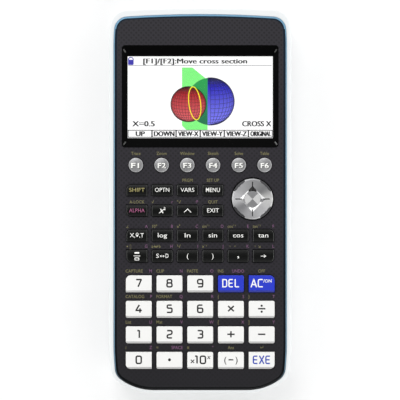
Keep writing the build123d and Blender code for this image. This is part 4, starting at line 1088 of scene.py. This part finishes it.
def globeLines(layer, centre, radius, material, width, leftLimit=None):
    # meridians and parallels of a ball seen a little from above
    grid = picture["grid"]
    for k in range(1, grid // 2):
        squeeze = math.cos(math.pi * k / grid)
        for side in (1, -1):
            arc = circle(centre, radius, 24, -math.pi / 2, math.pi / 2, squeeze * side)
            if leftLimit is None or min(p[0] for p in arc) > leftLimit - 0.2:
                line(layer, arc, width, material)
    for k in range(1 - grid // 2, grid // 2):
        height, half = radius * math.sin(math.pi * k / grid), radius * math.cos(math.pi * k / grid)
        run = [(centre[0] + half * math.cos(a), centre[1] + height - 0.18 * half * math.sin(a) + 0.06 * half)
               for a in [math.pi * j / 16 for j in range(17)]]
        run = [p for p in run if leftLimit is None or p[0] > leftLimit]
        if len(run) > 2:
            line(layer, run, width, material)
    line(layer, [(centre[0], centre[1] - radius), (centre[0], centre[1] + radius)], width, material)


right, top = picture["half"]
paint(0, box(-right, -top, right, top), litWhite)
paint(1, [(-8.9, 14.5), (-3.8, 14.5), (planeRight, 8.4), (planeRight, 4 - top), (-6.8, 4 - top),
          (-8.9, 6 - top)], litGreen)
cutTurn = math.acos((planeRight - blueBall["centre"][0]) / blueBall["radius"])
paint(2, circle(**blueBall), litBlue)
paint(3, circle(**blueBall, begin=cutTurn, end=2 * math.pi - cutTurn), litDeep)
globeLines(4, blueBall["centre"], blueBall["radius"] * 0.985, nightCrystal, 0.17, planeRight)
line(4, circle(**blueBall, steps=40, begin=-cutTurn, end=cutTurn), 0.38, nightCrystal)
paint(5, circle(**redBall), litRed)
globeLines(6, redBall["centre"], redBall["radius"] * 0.985, maroonCrystal, 0.16)
line(6, circle(**redBall), 0.36, darkCrystal, True)
line(7, circle((-2.69, -3.0), 8.11, squeeze=0.355, tilt=math.radians(7)), 0.42, litYellow, True)
line(7, [(0.2 - right, 15.55), (right - 0.5, 15.55)], 0.3, greyCrystal)
paint(7, box(0.1 - right, 0.2 - top, right - 0.1, picture["bar"] - top), darkCrystal)
for n, words in enumerate(("UP", "DOWN", "VIEW-X", "VIEW-Y", "VIEW-Z", "ORIGINAL")):
    left = 0.4 - right + n * picture["tab"]
    paint(8, rounded(box(left, 0.55 - top, left + 11.2, 3.6 - top), 0.4, True), litWhite)
    screenWord(9, words, left + 5.5, 2.08 - top, 4.6 if n == 0 else 10.2, "CENTER", 2.3, 0.36)
screenWord(9, "[F1]/[F2]:Move cross section", -28.3, 17.7, 50.9, "LEFT")
screenWord(9, "X=0.5", -33.3, -13.0, 11.1, "LEFT", 2.5)
screenWord(9, "CROSS X", 34.6, -13.0, 14.4, "RIGHT", 2.5)
padlock = [(-35.1, 16.0), (-32.8, 16.0), (-32.8, 18.9), (-33.45, 19.5), (-34.45, 19.5), (-35.1, 18.9)]
line(9, rounded(padlock, 0.3, True), 0.42, iconBlue, True)
paint(9, box(-34.95, 16.2, -32.95, 18.35), iconBlue)
joined(pictureParts, "displayPicture", "case")
print("display picture drawn")


# floor, light and camera

# light: strengths of the two softboxes, and of the room from its horizon to overhead
studio = {"key": 5.5, "fill": 5.2, "strength": 1.5,
          "room": [(0.0, 0.55), (0.12, 0.8), (0.3, 1.0), (0.55, 1.0), (0.8, 0.25), (0.93, 0.07)]}
floorMaterial, tree, place = newMaterial("matteStudioFloor")
speck = addNode(tree, "ShaderNodeTexNoise", {"Scale": 60.0}, {"Vector": place})
shade = ramp(tree, speck.outputs["Fac"], [(0.0, "#fbfbfb"), (1.0, "#fefefe")])
matte = addNode(tree, "ShaderNodeBsdfPrincipled", {"Roughness": 0.9, "Specular IOR Level": 0.2},
                {"Base Color": shade})
# clear from below, so the object's underside can be looked at
seeThrough = addNode(tree, "ShaderNodeMixShader")
tree.links.new(addNode(tree, "ShaderNodeNewGeometry").outputs["Backfacing"], seeThrough.inputs[0])
tree.links.new(matte.outputs[0], seeThrough.inputs[1])
tree.links.new(addNode(tree, "ShaderNodeBsdfTransparent").outputs[0], seeThrough.inputs[2])
finished(floorMaterial, seeThrough)
bpy.ops.object.select_all(action="DESELECT")
bpy.ops.mesh.primitive_plane_add(size=6, location=(0, 0, cadBox[0][2]))
floor = bpy.context.object
floor.name = "studioFloor"
floor.data.materials.append(floorMaterial)


def softLight(name, place, size, watts):
    # a square softbox aimed at the object
    lamp = bpy.data.lights.new(name, "AREA")
    lamp.energy, lamp.size = watts, size
    obj = bpy.data.objects.new(name, lamp)
    bpy.context.scene.collection.objects.link(obj)
    obj.location = place
    obj.rotation_euler = (-Vector(place)).to_track_quat("-Z", "Y").to_euler()


softLight("softboxBack", (-0.35, 0.9, 1.3), 0.9, studio["key"])
softLight("softboxFront", (0.5, -0.95, 1.0), 1.2, studio["fill"])
world = bpy.data.worlds.new("studioWorld")
world.use_nodes = True
tree = world.node_tree
facing = addNode(tree, "ShaderNodeTexCoord")
around = addNode(tree, "ShaderNodeSeparateXYZ", links={"Vector": facing.outputs["Generated"]})
upward = ramp(tree, around.outputs["Z"], studio["room"])
tree.links.new(upward, tree.nodes["Background"].inputs["Color"])
# a little brighter from behind the top edge and from the sides than from the near end
behind = addNode(tree, "ShaderNodeMath", {"operation": "MULTIPLY_ADD", 1: 0.32, 2: 0.87},
                 {0: around.outputs["Y"]})
sideways = addNode(tree, "ShaderNodeMath", {"operation": "MULTIPLY"},
                   {0: around.outputs["X"], 1: around.outputs["X"]})
both = addNode(tree, "ShaderNodeMath", {"operation": "MULTIPLY_ADD", 1: 0.3},
               {0: sideways.outputs[0], 2: behind.outputs[0]})
whole = addNode(tree, "ShaderNodeMath", {"operation": "MULTIPLY", 1: studio["strength"]},
                {0: both.outputs[0]})
tree.links.new(whole.outputs[0], tree.nodes["Background"].inputs["Strength"])
bpy.context.scene.world = world
bpy.context.scene.view_settings.view_transform = "Standard"

camera = bpy.data.cameras.new("camera")
camera.lens, camera.sensor_width = 200, 36
camera.shift_x, camera.shift_y = -0.0005, 0.00025
camera.clip_start = 0.05
viewpoint = bpy.data.objects.new("camera", camera)
bpy.context.scene.collection.objects.link(viewpoint)
viewpoint.location = (0, 0, faceZ + 1.0856)
bpy.context.scene.camera = viewpoint

print("scene ready")
